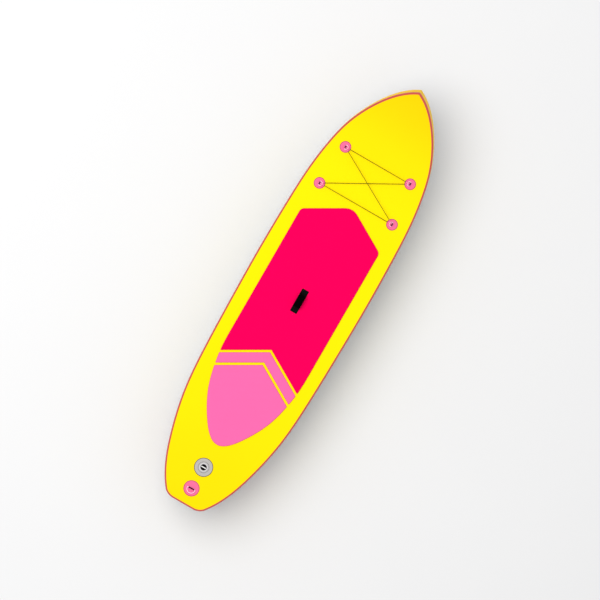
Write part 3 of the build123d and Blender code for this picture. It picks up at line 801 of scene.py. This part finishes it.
def divided(loop, longest):
    """The loop with extra points on its long runs."""
    made = []
    for a, b in zip(loop, np.roll(loop, -1, axis=0)):
        steps = max(1, int(math.ceil(np.linalg.norm(b - a) / longest)))
        made.extend(a + (b - a) * k / steps for k in range(steps))
    return np.array(made)


def moved_in(loop, distance):
    """The loop moved to its left by a small distance."""
    before = unit(loop - np.roll(loop, 1, axis=0))
    after = unit(np.roll(loop, -1, axis=0) - loop)
    way = unit(before + after)
    left = np.stack([-way[:, 1], way[:, 0]], 1)
    lean = np.clip(np.sum(left * np.stack([-before[:, 1], before[:, 0]], 1), axis=1), 0.5, 1)
    return loop + left * (distance / lean)[:, None]


def inside(points, loop):
    """Which points lie inside a closed loop."""
    x, y = points[:, 0], points[:, 1]
    hit = np.zeros(len(points), bool)
    for (ax, ay), (bx, by) in zip(loop, np.roll(loop, -1, axis=0)):
        crosses = (ay > y) != (by > y)
        if ay != by:
            hit ^= crosses & (x < (bx - ax) * (y - ay) / (by - ay) + ax)
    return hit


def slab(name, loops, levels, look, pitch, lift=None, carry=None, rim=None, rim_levels=0, **rest):
    """Sheet cut to an outer loop (anticlockwise) and holes (clockwise), its edges following levels.

    levels are (inset, height) from the underside up; lift(x, y) adds height to the top face, and
    carry(x, y, z) puts points in the part's frame. rim is a second finish for the outer edge's first levels.
    """
    loops = [divided(loop, pitch) for loop in loops]
    if rim:
        rest.update(second=rim, second_faces=range(rim_levels * len(loops[0])))
    rings = [[moved_in(loop, inset) if inset else loop for inset, _ in levels] for loop in loops]
    verts, faces, starts = [], [], []
    for ring_set in rings:
        first = len(verts)
        starts.append(first)
        count = len(ring_set[0])
        for ring, (_, height) in zip(ring_set, levels):
            verts.extend((x, y, height) for x, y in ring)
        faces += grid_faces(len(levels), count, first, wrap_columns=True)
    for level, flip in ((len(levels) - 1, False), (0, True)):
        edge = [ring_set[level] for ring_set in rings]
        low, high = edge[0].min(0), edge[0].max(0)
        xs = np.arange(low[0] + pitch / 2, high[0], pitch)
        ys = np.arange(low[1] + pitch / 2, high[1], pitch)
        field = np.array([(x, y) for x in xs for y in ys]).reshape(-1, 2)
        whole = np.concatenate(edge)
        if len(field):
            keep = inside(field, edge[0])
            for hole in edge[1:]:
                keep &= ~inside(field, hole)
            field = field[keep]
        if len(field):
            near = np.min(np.linalg.norm(field[:, None] - whole[None], axis=2), axis=1)
            field = field[near > pitch * 0.55]
        flat = np.concatenate([whole, field]) if len(field) else whole
        index, links, at = [], [], 0
        for start, ring in zip(starts, edge):
            count = len(ring)
            index.extend(start + level * count + k for k in range(count))
            links.extend((at + k, at + (k + 1) % count) for k in range(count))
            at += count
        height = levels[level][1]
        for x, y in field:
            index.append(len(verts))
            verts.append((x, y, height + (lift(x, y) if lift and not flip else 0.0)))
        solved = geometry.delaunay_2d_cdt([Vector(p) for p in flat], links, [], 1, 1e-9)
        where, triangles, origin = solved[0], solved[2], solved[3]
        for triangle in triangles:
            middle = sum((where[k] for k in triangle), Vector((0, 0))) / len(triangle)
            if any(inside(np.array([[middle.x, middle.y]]), hole)[0] for hole in edge[1:]):
                continue
            corners = [index[origin[k][0]] for k in triangle]
            faces.append(corners[::-1] if flip else corners)
    if carry:
        verts = [carry(*v) for v in verts]
    return piece(name, verts, faces, look, **rest)


def pad_side():
    return cubic(PAD_SIDE, [(-1.0, 0.0), (0.0, -1.0)])


def pad_crossing(side, apex):
    """Parameter where the pads' side edge meets a chevron edge."""
    t = np.linspace(0, 1, 4001)
    place = side(t)[0]
    gap = place[:, 0] - (apex - place[:, 1] * PAD_SLOPE)
    return float(t[np.argmax(gap < 0)])


def mirrored(half):
    """Closed anticlockwise loop from its port half, which runs from the front to the back."""
    half = np.array(half)
    inner = half[np.abs(half[:, 1]) > 1e-9]
    return np.concatenate([half, (inner * np.array([1.0, -1.0]))[::-1]])


def make_pads():
    """Main pad with its window for the handle, the chevron stripe and the tail pad."""
    side = pad_side()
    t_main, t_front, t_rear, t_tail = (
        pad_crossing(side, apex) for apex in (MAIN_REAR_X, STRIPE_FRONT_X, STRIPE_REAR_X, TAIL_PAD_FRONT_X))
    corner_x = PAD_APEX_X - PAD_HALF_WIDTH * PAD_SLOPE
    window_x, window_y = HANDLE_LONG / 2 + 0.001, HANDLE_WIDE / 2 + 0.001

    def run(start, stop, count):
        return [tuple(p) for p in side(np.linspace(start, stop, count))[0]]

    main = [(PAD_APEX_X, 0.0, PAD_APEX_RADIUS), (corner_x, PAD_HALF_WIDTH, PAD_CORNER_RADIUS)]
    main += [(x, y, 0.0) for x, y in run(0.0, t_main, 12)[:-1]]
    main += [(*run(t_main, 1, 2)[0], 0.004), (MAIN_REAR_X, 0.0, 0.0)]
    stripe = [(STRIPE_FRONT_X, 0.0, 0.0), (*run(t_front, 1, 2)[0], 0.004)]
    stripe += [(x, y, 0.0) for x, y in run(t_front, t_rear, 8)[1:-1]]
    stripe += [(*run(t_rear, 1, 2)[0], 0.004), (STRIPE_REAR_X, 0.0, 0.0)]
    tail = [(TAIL_PAD_FRONT_X, 0.0, 0.0), (*run(t_tail, 1, 2)[0], 0.004)]
    tail += [(x, y, 0.0) for x, y in run(t_tail, 1, 60)[1:]]
    hole = fillet(rectangle(window_x, window_y, clockwise=True), [0.005] * 4) + np.array([HANDLE_X, 0.0])
    drops = ((0.0, 0.0020), (0.00025, 0.0012), (0.0008, 0.0005), (0.0015, 0.0002), (0.0024, 0.0))
    levels = [(0.0, 0.0)] + [(inset, PAD_THICK - drop) for inset, drop in drops]

    def lift(x, y):
        return 0.00012 * (math.sin(x * 21 + 1.3) * math.cos(y * 17) + math.sin(x * 47 + y * 31))

    # Each pad's bevelled edge takes its darker foam, painted shade along the edge.
    for name, half, holes, look, edge, node in (
        ("pad_main", main, [hole], "magenta_foam", "magenta_edge_painted_shade", "deck_pad_main"),
        ("pad_stripe", stripe, [], "pink_foam", "pink_edge_painted_shade", "deck_pad_stripe"),
        ("pad_tail", tail, [], "pink_foam", "pink_edge_painted_shade", "deck_pad_tail"),
    ):
        full = mirrored([p[:2] for p in half])
        flat_radii = [p[2] for p in half]
        other = [p[2] for p in half if abs(p[1]) > 1e-9][::-1]
        outer = fillet([tuple(p) for p in full], flat_radii + other)
        made = slab(
            name, [outer, *holes], levels, look, 0.016, lift, on_deck(0.0), edge, len(levels) - 1,
            replaces=[node], smooth=40.0)


def rectangle(half_long, half_wide, clockwise=False):
    """Corners of a rectangle about the origin."""
    a, b = half_long, half_wide
    return [(-a, -b), (-a, b), (a, b), (a, -b)] if clockwise else [(-a, -b), (a, -b), (a, b), (-a, b)]


def welded_rim(wide, foot=0.0):
    """Levels of a glued patch: a rounded edge, a rim so wide, and the weld's groove inside it."""
    top = PATCH_THICK
    return [
        (0.0, foot), (0.0, top * 0.55), (0.0003, top * 0.85), (0.0008, top), (wide, top),
        (wide + 0.0004, top - 0.0003), (wide + 0.0010, top - 0.0003), (wide + 0.0014, top)]


def on_deck(middle):
    """Carries a point from a place on the flat deck's centre line to the part's frame."""
    return lambda x, y, z: (middle + x, y, THICK + z)


def make_patch(name, radius, slit_long, place, node, across=False):
    """Round patch with a welded rim line, its darker colour partly the weld and partly painted shade along
    the edge, and a slit for the webbing tab.
    """
    turns = np.linspace(0, 2 * math.pi, 73)[:-1]
    circle = radius * np.stack([np.cos(turns), np.sin(turns)], 1)
    half_long, half_wide = slit_long / 2 + 0.0002, 0.0017
    if across:
        half_long, half_wide = half_wide, half_long
    hole = fillet(rectangle(half_long, half_wide, clockwise=True), [0.0008] * 4, 0.4)

    def carry(x, y, z):
        curve = x * x / (2 * DECK_RADIUS) if place.translation.x > ROCKER_START else 0.0
        return place @ Vector((x, y, z + curve))

    slab(name, [circle, hole], welded_rim(0.0030, -0.0001), "pink_patch", 0.006, None, carry,
         "pink_rim", RIM_LEVELS, replaces=[node], smooth=30.0)


def ribbon(name, line, normals, wide_way, wide, thick, look, **rest):
    """Woven band along a line, with rounded selvedges; flow runs along and across it."""
    line = np.array(line, float)
    normals = np.array(normals, float)
    wide_way = np.array(wide_way, float)
    edge = 0.9 * thick / wide
    flat = [(t * (1 - edge), 1.0) for t in np.linspace(-1, 1, 13)]
    shoulder = 1 - edge * 0.35
    upper = [(-1.0, 0.0), (-shoulder, 0.7), *flat, (shoulder, 0.7), (1.0, 0.0)]
    lower = [(u, -v) for u, v in upper[::-1][1:-1]]
    section = upper + lower
    count = len(section)
    verts, places = [], []
    for centre, normal, along in zip(line, normals, travelled(line)):
        for u, v in section:
            verts.append(centre + wide_way * (u * wide / 2) + normal * (v * thick / 2))
            places.append((along, u * wide / 2))
    faces = grid_faces(len(line), count, wrap_columns=True) + end_caps(len(line), count)
    flow = [places[v] for face in faces for v in face]
    return piece(name, verts, faces, look, flow=flow, **rest)


def rounded_line(points, radii):
    """Open line in a plane with its inner corners rounded, and its left-hand normals."""
    made = []
    last = len(points) - 1
    for i, point in enumerate(points):
        if i in (0, last) or radii[i] <= 0:
            made.append(np.array(point, float))
            continue
        trio = [points[i - 1], point, points[i + 1]]
        made.extend(fillet(trio, [0, radii[i], 0], 0.16)[1:-1])
    made = np.array(made)
    way = unit(np.gradient(made, axis=0))
    return made, np.stack([-way[:, 1], way[:, 0]], 1)


def tube(name, path, radius, look, sides, closed=False, **rest):
    """Round tube along a path; flow runs along and around it."""
    path = np.array(path, float)
    count = len(path)
    if closed:
        way = np.roll(path, -1, axis=0) - np.roll(path, 1, axis=0)
    else:
        way = np.gradient(path, axis=0)
    way = unit(way)
    side = np.cross(way[0], [0.0, 0.0, 1.0])
    sides_at = [side / np.linalg.norm(side)]
    for k in range(1, count):
        carried = sides_at[-1] - way[k] * (sides_at[-1] @ way[k])
        sides_at.append(carried / np.linalg.norm(carried))
    twist = 0.0
    if closed:
        carried = sides_at[-1] - way[0] * (sides_at[-1] @ way[0])
        carried /= np.linalg.norm(carried)
        other = np.cross(way[0], sides_at[0])
        twist = -math.atan2(carried @ other, carried @ sides_at[0])
    reached = travelled(np.concatenate([path, path[:1]]))
    verts = []
    for k in range(count):
        other = np.cross(way[k], sides_at[k])
        for j in range(sides):
            angle = 2 * math.pi * j / sides + twist * k / count
            verts.append(path[k] + radius * (math.cos(angle) * sides_at[k] + math.sin(angle) * other))
    faces, flow = [], []
    pitch = 2 * math.pi * radius / sides
    for k in range(count if closed else count - 1):
        for j in range(sides):
            n, m = (k + 1) % count, (j + 1) % sides
            faces.append((k * sides + j, k * sides + m, n * sides + m, n * sides + j))
            flow += [(reached[k], j * pitch), (reached[k], (j + 1) * pitch),
                     (reached[k + 1], (j + 1) * pitch), (reached[k + 1], j * pitch)]
    if not closed:
        faces += end_caps(count, sides)
        flow += [(0.0, j * pitch) for j in range(sides)] * 2
    return piece(name, verts, faces, look, flow=flow, **rest)


def lathe(name, profile, look, centre, segments, wobble=None, second=None, second_rows=(), **rest):
    """Solid of revolution from a closed (radius, height) profile that may start and end on the axis."""
    profile = list(profile)
    capped = profile[0][0] <= 0 and profile[-1][0] <= 0
    rings = profile[1:-1] if capped else profile
    verts, faces, chosen = [], [], []
    for r, z in rings:
        for k in range(segments):
            angle = 2 * math.pi * k / segments
            reach = r + (wobble(r, angle) if wobble else 0.0)
            x, y = reach * math.cos(angle), reach * math.sin(angle)
            verts.append((centre[0] + x, centre[1] + y, centre[2] + z))
    last = len(rings) if not capped else len(rings) - 1
    for i in range(last):
        for k in range(segments):
            m, n = (k + 1) % segments, (i + 1) % len(rings)
            if i in second_rows:
                chosen.append(len(faces))
            faces.append((i * segments + k, i * segments + m, n * segments + m, n * segments + k))
    if capped:
        for (_, z), row, flip in ((profile[0], 0, True), (profile[-1], len(rings) - 1, False)):
            verts.append((centre[0], centre[1], centre[2] + z))
            for k in range(segments):
                trio = (row * segments + k, row * segments + (k + 1) % segments, len(verts) - 1)
                if not flip and second:
                    chosen.append(len(faces))
                faces.append(trio[::-1] if flip else trio)
    return piece(name, verts, faces, look, second=second, second_faces=chosen, **rest)


def stitches(name, runs, look, **rest):
    """Rows of separate sewn stitches along runs of (points, normal)."""
    long, gap, wide = 0.0026, 0.0011, 0.0004
    verts, faces = [], []
    rings = ((-1.0, 0.35), (-0.6, 0.85), (0.0, 1.0), (0.6, 0.85), (1.0, 0.35))
    for points, normal in runs:
        points = np.array(points, float)
        normal = np.array(normal, float)
        for a, b in zip(points, points[1:]):
            span = np.linalg.norm(b - a)
            way = (b - a) / span
            side = np.cross(normal, way)
            count = max(1, int(span / (long + gap)))
            for k in range(count):
                middle = a + way * span * (k + 0.5) / count
                first = len(verts)
                for t, scale in rings:
                    sink = -0.6 * wide * t * t
                    for j in range(6):
                        angle = math.pi * j / 3
                        verts.append(
                            middle + way * (t * long / 2) + side * (wide * scale * math.cos(angle))
                            + normal * (sink + wide * scale * math.sin(angle)))
                faces += grid_faces(5, 6, first, wrap_columns=True)
                faces += [tuple(first + k for k in cap) for cap in end_caps(5, 6)]
    return piece(name, verts, faces, look, **rest)


def handle_line():
    """Centre line of the handle's webbing, in (x, z) from the middle of the handle on the deck."""
    foot_end, low = HANDLE_LONG / 2 - 0.005, PATCH_THICK + STRAP_THICK / 2
    points = [(-foot_end, low), (-foot_end + 0.020, low), (-0.038, GRIP_RISE), (0.038, GRIP_RISE),
              (foot_end - 0.020, low), (foot_end, low)]
    return rounded_line(points, [0, 0.008, 0.022, 0.022, 0.008, 0])


on_handle = on_deck(HANDLE_X)


def make_handle():
    """Base patch, webbing strap with sewn feet, and the padded sleeve."""
    long, wide = HANDLE_LONG / 2 + 0.0008, HANDLE_WIDE / 2 + 0.0008
    base = fillet(rectangle(long, wide), [0.004] * 4)
    levels = [(0.0, 0.0), (0.0, 0.0012), (0.0003, 0.0017), (0.0009, 0.0020)]
    slab("handle_base", [base], levels, "black_pvc", 0.008, None, on_handle, replaces=["handle_patch"])
    line, normals = handle_line()
    dense, lean = [], []
    for k in range(len(line) - 1):
        steps = max(1, int(np.linalg.norm(line[k + 1] - line[k]) / 0.004))
        for m in range(steps):
            dense.append(line[k] + (line[k + 1] - line[k]) * m / steps)
            lean.append(normals[k] + (normals[k + 1] - normals[k]) * m / steps)
    dense, lean = np.array(dense + [line[-1]]), np.array(lean + [normals[-1]])
    lean = unit(lean)
    path = np.array([on_handle(x, 0.0, z) for x, z in dense])
    out = np.array([(x, 0.0, z) for x, z in lean])
    ribbon("handle_webbing", path, out, (0, -1, 0), STRAP_WIDE, STRAP_THICK, "black_webbing",
           replaces=["handle_strap"])
    runs = []
    lift = PATCH_THICK + STRAP_THICK + 0.0001
    for sign in (-1, 1):
        x0, x1, y1 = sign * 0.0640, sign * 0.0772, STRAP_WIDE / 2 - 0.004
        box = ((x0, -y1), (x1, -y1), (x1, y1), (x0, y1), (x0, -y1), (x1, y1))
        corners = [on_handle(x, y, lift) for x, y in box]
        cross = [on_handle(x1, -y1, lift), on_handle(x0, y1, lift)]
        runs += [(corners, (0, 0, 1)), (cross, (0, 0, 1))]
    stitches("handle_stitching", runs, "grey_thread", slot="black_webbing")
    held = np.abs(dense[:, 0]) <= GRIP_HALF
    centre, normal = path[held], out[held]
    along = travelled(centre)
    total = along[-1]
    count = 40
    verts, places = [], []
    for c, n, t in zip(centre, normal, along):
        edge = min(t, total - t)
        full = 0.52 + 0.48 * min(1.0, edge / 0.006) ** 0.5
        pinch = 1 - 0.10 * math.exp(-((edge - SEWN_IN) / 0.0016) ** 2)
        fold = 1 + 0.012 * math.sin(t * 520)
        for k in range(count):
            angle = 2 * math.pi * k / count
            ca, sa = math.cos(angle), math.sin(angle)
            u = math.copysign(abs(ca) ** 0.55, ca) * (HANDLE_WIDE - 0.001) / 2 * (0.975 + 0.025 * full)
            v = math.copysign(abs(sa) ** 0.8, sa) * GRIP_THICK / 2 * full * pinch * fold
            if sa < 0:
                v *= 1 - 0.14 * math.exp(-((u / 0.0018) ** 2))
            verts.append(c + np.array([0, u, 0]) + n * v)
            places.append((t, k / count * 0.11))
    faces = grid_faces(len(centre), count, wrap_columns=True) + end_caps(len(centre), count)
    flow = [places[v] for face in faces for v in face]
    grip = piece("handle_sleeve", verts, faces, "black_neoprene", flow=flow,
                 replaces=["handle_grip"], smooth=50.0)
    runs = []
    for sign in (-1, 1):
        pick = int(np.argmin(np.abs(along - (SEWN_IN if sign < 0 else total - SEWN_IN))))
        c, n = centre[pick], normal[pick]
        rise = GRIP_THICK / 2 * 0.9
        half = 0.019
        row = [c + n * rise * (1 - 0.06 * (y / half) ** 2) + np.array([0, y, 0])
               for y in np.linspace(-half, half, 12)]
        runs.append((row, tuple(n)))
    stitches("handle_sleeve_stitching", runs, "grey_thread", slot="black_webbing")


def bar_height(wire):
    return PATCH_THICK + wire + TAB_CLEARANCE + TAB_THICK


def make_tab(name, wire, long, place, node, across=False):
    """Webbing folded round a ring's bar, both ends down through the patch's slit."""
    height, reach = bar_height(wire), wire + TAB_CLEARANCE + TAB_THICK / 2
    turns = np.radians(np.linspace(254, -74, 27))
    arc = [(reach * math.cos(a), height + reach * math.sin(a)) for a in turns]
    half = TAB_THICK / 2
    line = np.array([(-half, 0.0002), (-half, 0.0016), *arc, (half, 0.0016), (half, 0.0002)])
    way = unit(np.gradient(line, axis=0))
    turned = place @ Matrix.Rotation(-math.pi / 2, 4, "Z") if across else place
    frame_turn = turned.to_3x3()
    path = [turned @ Vector((0, q, z)) for q, z in line]
    out = [frame_turn @ Vector((0, -w[1], w[0])) for w in way]
    bar = frame_turn @ Vector((1, 0, 0))
    ribbon(name, path, out, bar, long, TAB_THICK, "maroon_webbing", replaces=[node])


def cord_corners():
    """The bungee's eight turning points, and the patch that each is at."""
    patches = {
        "front_port": FRONT_PATCH, "front_starboard": (FRONT_PATCH[0], -FRONT_PATCH[1]),
        "rear_port": REAR_PATCH, "rear_starboard": (REAR_PATCH[0], -REAR_PATCH[1])}
    order = [
        ("front_port", "front_starboard", CORD_LOW), ("front_starboard", "front_port", CORD_HIGH),
        ("front_starboard", "rear_port", CORD_LOW), ("rear_port", "front_starboard", CORD_LOW),
        ("rear_port", "rear_starboard", CORD_HIGH), ("rear_starboard", "rear_port", CORD_LOW),
        ("rear_starboard", "front_port", CORD_HIGH), ("front_port", "rear_starboard", CORD_HIGH)]
    corners = []
    for at, toward, height in order:
        a, b = Vector(patches[at]), Vector(patches[toward])
        x, y = a + (b - a).normalized() * CORD_TURN_OUT
        corners.append((deck_frame(x, y) @ Vector((0, 0, height)), at))
    return corners, patches


def make_bungee():
    """Braided cord on one smooth closed line, with a sleeve and two dark end bands at each ring."""
    corners, patches = cord_corners()
    control = []
    for k, (corner, at) in enumerate(corners):
        following, next_at = corners[(k + 1) % len(corners)]
        control.append(corner)
        if next_at != at:
            way = (following - corner).normalized()
            control += [corner + way * CORD_STRAIGHT, following - way * CORD_STRAIGHT]
    data = bpy.data.curves.new("bungee_line", "CURVE")
    data.dimensions = "3D"
    spline = data.splines.new("NURBS")
    spline.points.add(len(control) - 1)
    for point, place in zip(spline.points, control):
        point.co = (*place, 1.0)
    spline.use_cyclic_u = True
    spline.order_u = 3
    spline.resolution_u = 10
    holder = bpy.data.objects.new("bungee_line", data)
    bpy.context.scene.collection.objects.link(holder)
    sampled = bpy.data.meshes.new_from_object(holder)
    path = np.array([v.co[:] for v in sampled.vertices])
    bpy.data.objects.remove(holder)
    tube("bungee_braid", path, CORD_RADIUS, "bungee_cover", 16, True, replaces=["bungee_cord"], smooth=60.0)
    for at, (x, y) in patches.items():
        away = np.hypot(path[:, 0] - x, path[:, 1] - y)
        near = np.flatnonzero(away < 0.075)
        if near[0] == 0 and near[-1] == len(path) - 1:
            jump = int(np.argmax(np.diff(near) > 1)) + 1
            near = np.concatenate([near[jump:], near[:jump]])
        run = path[near]
        fine = []
        for a, b in zip(run, run[1:]):
            steps = max(1, int(np.linalg.norm(b - a) / 0.0015))
            fine.extend(a + (b - a) * k / steps for k in range(steps))
        fine = np.array(fine)
        out = np.hypot(fine[:, 0] - x, fine[:, 1] - y)
        sleeve = fine[out < SLEEVE_REACH]
        tube(f"bungee_sleeve_{at}", sleeve, SLEEVE_RADIUS, "pink_sleeve", 16,
             slot="light_pink_plastic", smooth=60.0)
        low = np.argmin(out)
        for end, half in (("a", fine[:low]), ("b", fine[low:])):
            reach = np.hypot(half[:, 0] - x, half[:, 1] - y)
            band = half[(reach > SLEEVE_REACH - 0.0015) & (reach < SLEEVE_REACH + 0.0025)]
            tube(f"bungee_band_{at}_{end}", band, BAND_RADIUS, "dark_plastic", 16, smooth=60.0)


def make_valve():
    """Round patch, cap with a ribbed edge and a dark recess, and its grip bar."""
    turns = np.linspace(0, 2 * math.pi, 121)[:-1]
    circle = np.stack([np.cos(turns), np.sin(turns)], 1)
    slab("valve_base", [circle * VALVE_PATCH_RADIUS, circle[::-1] * VALVE_HOLE], welded_rim(0.0028, -0.0001),
         "grey_pvc", 0.009, None, on_deck(VALVE_X), "grey_rim", RIM_LEVELS,
         replaces=["valve_patch"], smooth=30.0)
    mm = 0.001
    middle = (VALVE_X, 0.0, THICK)
    # Seal bead round the flange, in the dark rim colour: its darkness is painted shade of the gap between
    # flange and patch.
    bead = [(35.52, 1.95), (37.4, 1.95), (37.3, 2.5), (36.7, 2.95), (35.9, 2.95), (35.52, 2.6)]
    lathe("valve_flange_bead", [(r * mm, z * mm) for r, z in bead], "grey_rim", middle, 120,
          slot="grey_pvc", smooth=40.0)
    profile = [
        (0, 1.0), (21.8, 1.0), (22.35, 1.5), (22.35, 6.5), (28.2, 6.6), (29.0, 7.2), (29.0, 9.4),
        (28.5, 10.0), (27.9, 10.15), (26.6, 10.15), (26.3, 9.9), (25.9, 9.9), (25.6, 10.15),
        (22.6, 10.15), (21.9, 9.9),
        (21.5, 9.3), (21.4, 3.0), (21.0, 2.6), (0, 2.6)]

    def ribs(r, angle):
        return -0.0007 * max(0.0, math.cos(angle * 30)) ** 2 if r > 0.0289 else 0.0

    lathe("valve_cap_shell", [(r * mm, z * mm) for r, z in profile], "valve_plastic", middle, 240, ribs,
          "dark_plastic", (14, 15, 16), body="valve_cap", replaces=["valve_cap"], smooth=34.0)
    turns, reach, low, rise = 7.6 / 1.7, 0.0062, THICK - 0.0113, 0.0076
    angles = np.linspace(0, 2 * math.pi * turns, 130)
    heights = low + rise * np.linspace(0, 1, len(angles))
    coil = np.stack([VALVE_X + reach * np.cos(angles), reach * np.sin(angles), heights], 1)
    spring = tube("valve_coil", coil, 0.0005, "steel", 10, replaces=["valve_spring"], smooth=60.0)
    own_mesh(spring)
    long, wide = 0.0187, 0.0036
    bar = fillet(rectangle(wide, long), [0.0034] * 4, 0.2)
    levels = [(0.0, 0.0026), (0.0, 0.0080), (0.0005, 0.0090), (0.0015, 0.0096)]
    slab("valve_cap_grip", [bar], levels, "light_plastic", 0.004, None, on_deck(VALVE_X),
         body="valve_cap", slot="valve_plastic", smooth=50.0)


def make_fin_patches():
    """Glued patches under the fin box and the side fins."""
    for name, x, y, long, wide, radius in (
        ("fin_box_base", FIN_X, 0.0, 0.340, 0.104, 0.050),
        ("side_fin_base_port", SIDE_FIN_X, SIDE_FIN_Y, 0.156, 0.060, 0.029),
        ("side_fin_base_starboard", SIDE_FIN_X, -SIDE_FIN_Y, 0.156, 0.060, 0.029),
    ):
        outer = fillet(rectangle(long / 2, wide / 2), [radius] * 4)
        slab(name, [outer], welded_rim(0.0028), "pink_patch", 0.010, None,
             lambda px, py, pz, x=x, y=y: (x + px, y - py, -pz), "pink_rim", RIM_LEVELS,
             replaces=[name.replace("base", "patch")], smooth=30.0)


# ================================================================ build

make_hull()
make_pads()
make_handle()
make_bungee()
make_valve()
make_fin_patches()

for side, sign in (("port", 1.0), ("starboard", -1.0)):
    for end, (x, y) in (("rear", REAR_PATCH), ("front", FRONT_PATCH)):
        place = deck_frame(x, y * sign)
        make_patch(f"patch_{end}_{side}", PATCH_RADIUS, RING_TAB, place, f"bungee_patch_{end}_{side}")
        make_tab(f"tab_{end}_{side}", RING_WIRE, RING_TAB, place, f"bungee_tab_{end}_{side}")
leash_place = deck_frame(LEASH_X, 0.0)
make_patch("patch_leash", LEASH_PATCH_RADIUS, LEASH_TAB, leash_place, "leash_patch", across=True)
make_tab("tab_leash", LEASH_WIRE, LEASH_TAB, leash_place, "leash_tab", across=True)


# ================================================================ finishes of the nodes that stay

for row in frame["record"]["subparts"]:
    if row["node"] in nodes:
        data = nodes[row["node"]].data
        data.materials.clear()
        data.materials.append(LOOKS[row["material_slot"]])

# ================================================================ floor, light and camera

FLOOR_Z = cad_box[0].z - 0.0005
FRAME_WIDE = 4.02           # width of the picture at the deck
DECK_LEVEL = 0.1            # height that the picture's width is taken at
LENS = 400.0
SENSOR = 36.0


def make_floor():
    s = Shader("studio_floor", Specular_IOR_Level=0.0)
    tone = s.mix(s.noise(1.6, 3.0), (0.745, 0.745, 0.75), (0.755, 0.755, 0.757))
    material = s.done(tone, s.span(s.noise(8.0, 3.0), 0.2, 0.8, 0.8, 0.95))
    half = 60.0
    mesh = bpy.data.meshes.new("studio_floor")
    corners = [(-half, -half, FLOOR_Z), (half, -half, FLOOR_Z), (half, half, FLOOR_Z), (-half, half, FLOOR_Z)]
    mesh.from_pydata(corners, [], [(0, 1, 2, 3)])
    mesh.materials.append(material)
    made = bpy.data.objects.new("studio_floor", mesh)
    bpy.context.scene.collection.objects.link(made)


def make_key_light(place, size, power):
    """One large soft lamp aimed at the board's middle, seen by neither the camera nor reflections."""
    data = bpy.data.lights.new("key", "AREA")
    data.shape = "DISK"
    data.size = size
    data.energy = power
    made = bpy.data.objects.new("key", data)
    made.location = place
    made.rotation_euler = (-place).to_track_quat("-Z", "Y").to_euler()
    made.visible_camera = False
    made.visible_glossy = False
    bpy.context.scene.collection.objects.link(made)


right = Vector((0.5, -math.sqrt(0.75), 0.0))
up = Vector((math.sqrt(0.75), 0.5, 0.0))
PIXEL = FRAME_WIDE / 600
look_at = -right * (1.96 * PIXEL) - up * (3.04 * PIXEL)
distance = FRAME_WIDE * LENS / SENSOR
camera_data = bpy.data.cameras.new("camera")
camera_data.lens = LENS
camera_data.sensor_width = SENSOR
camera_data.clip_end = 200.0
camera = bpy.data.objects.new("camera", camera_data)
camera.matrix_world = Matrix((
    (right.x, up.x, 0.0, look_at.x),
    (right.y, up.y, 0.0, look_at.y),
    (0.0, 0.0, 1.0, DECK_LEVEL + distance),
    (0.0, 0.0, 0.0, 1.0),
))
bpy.context.scene.collection.objects.link(camera)
bpy.context.scene.camera = camera

make_floor()
make_key_light(-right * 3.3 + up * 2.1 + Vector((0, 0, 9.5)), size=11.0, power=760.0)
world = bpy.data.worlds.new("studio")
world.use_nodes = True
background = world.node_tree.nodes["Background"]
background.inputs["Color"].default_value = (1.0, 1.0, 1.0, 1.0)
background.inputs["Strength"].default_value = 0.76
bpy.context.scene.world = world
bpy.context.scene.view_settings.view_transform = "Standard"
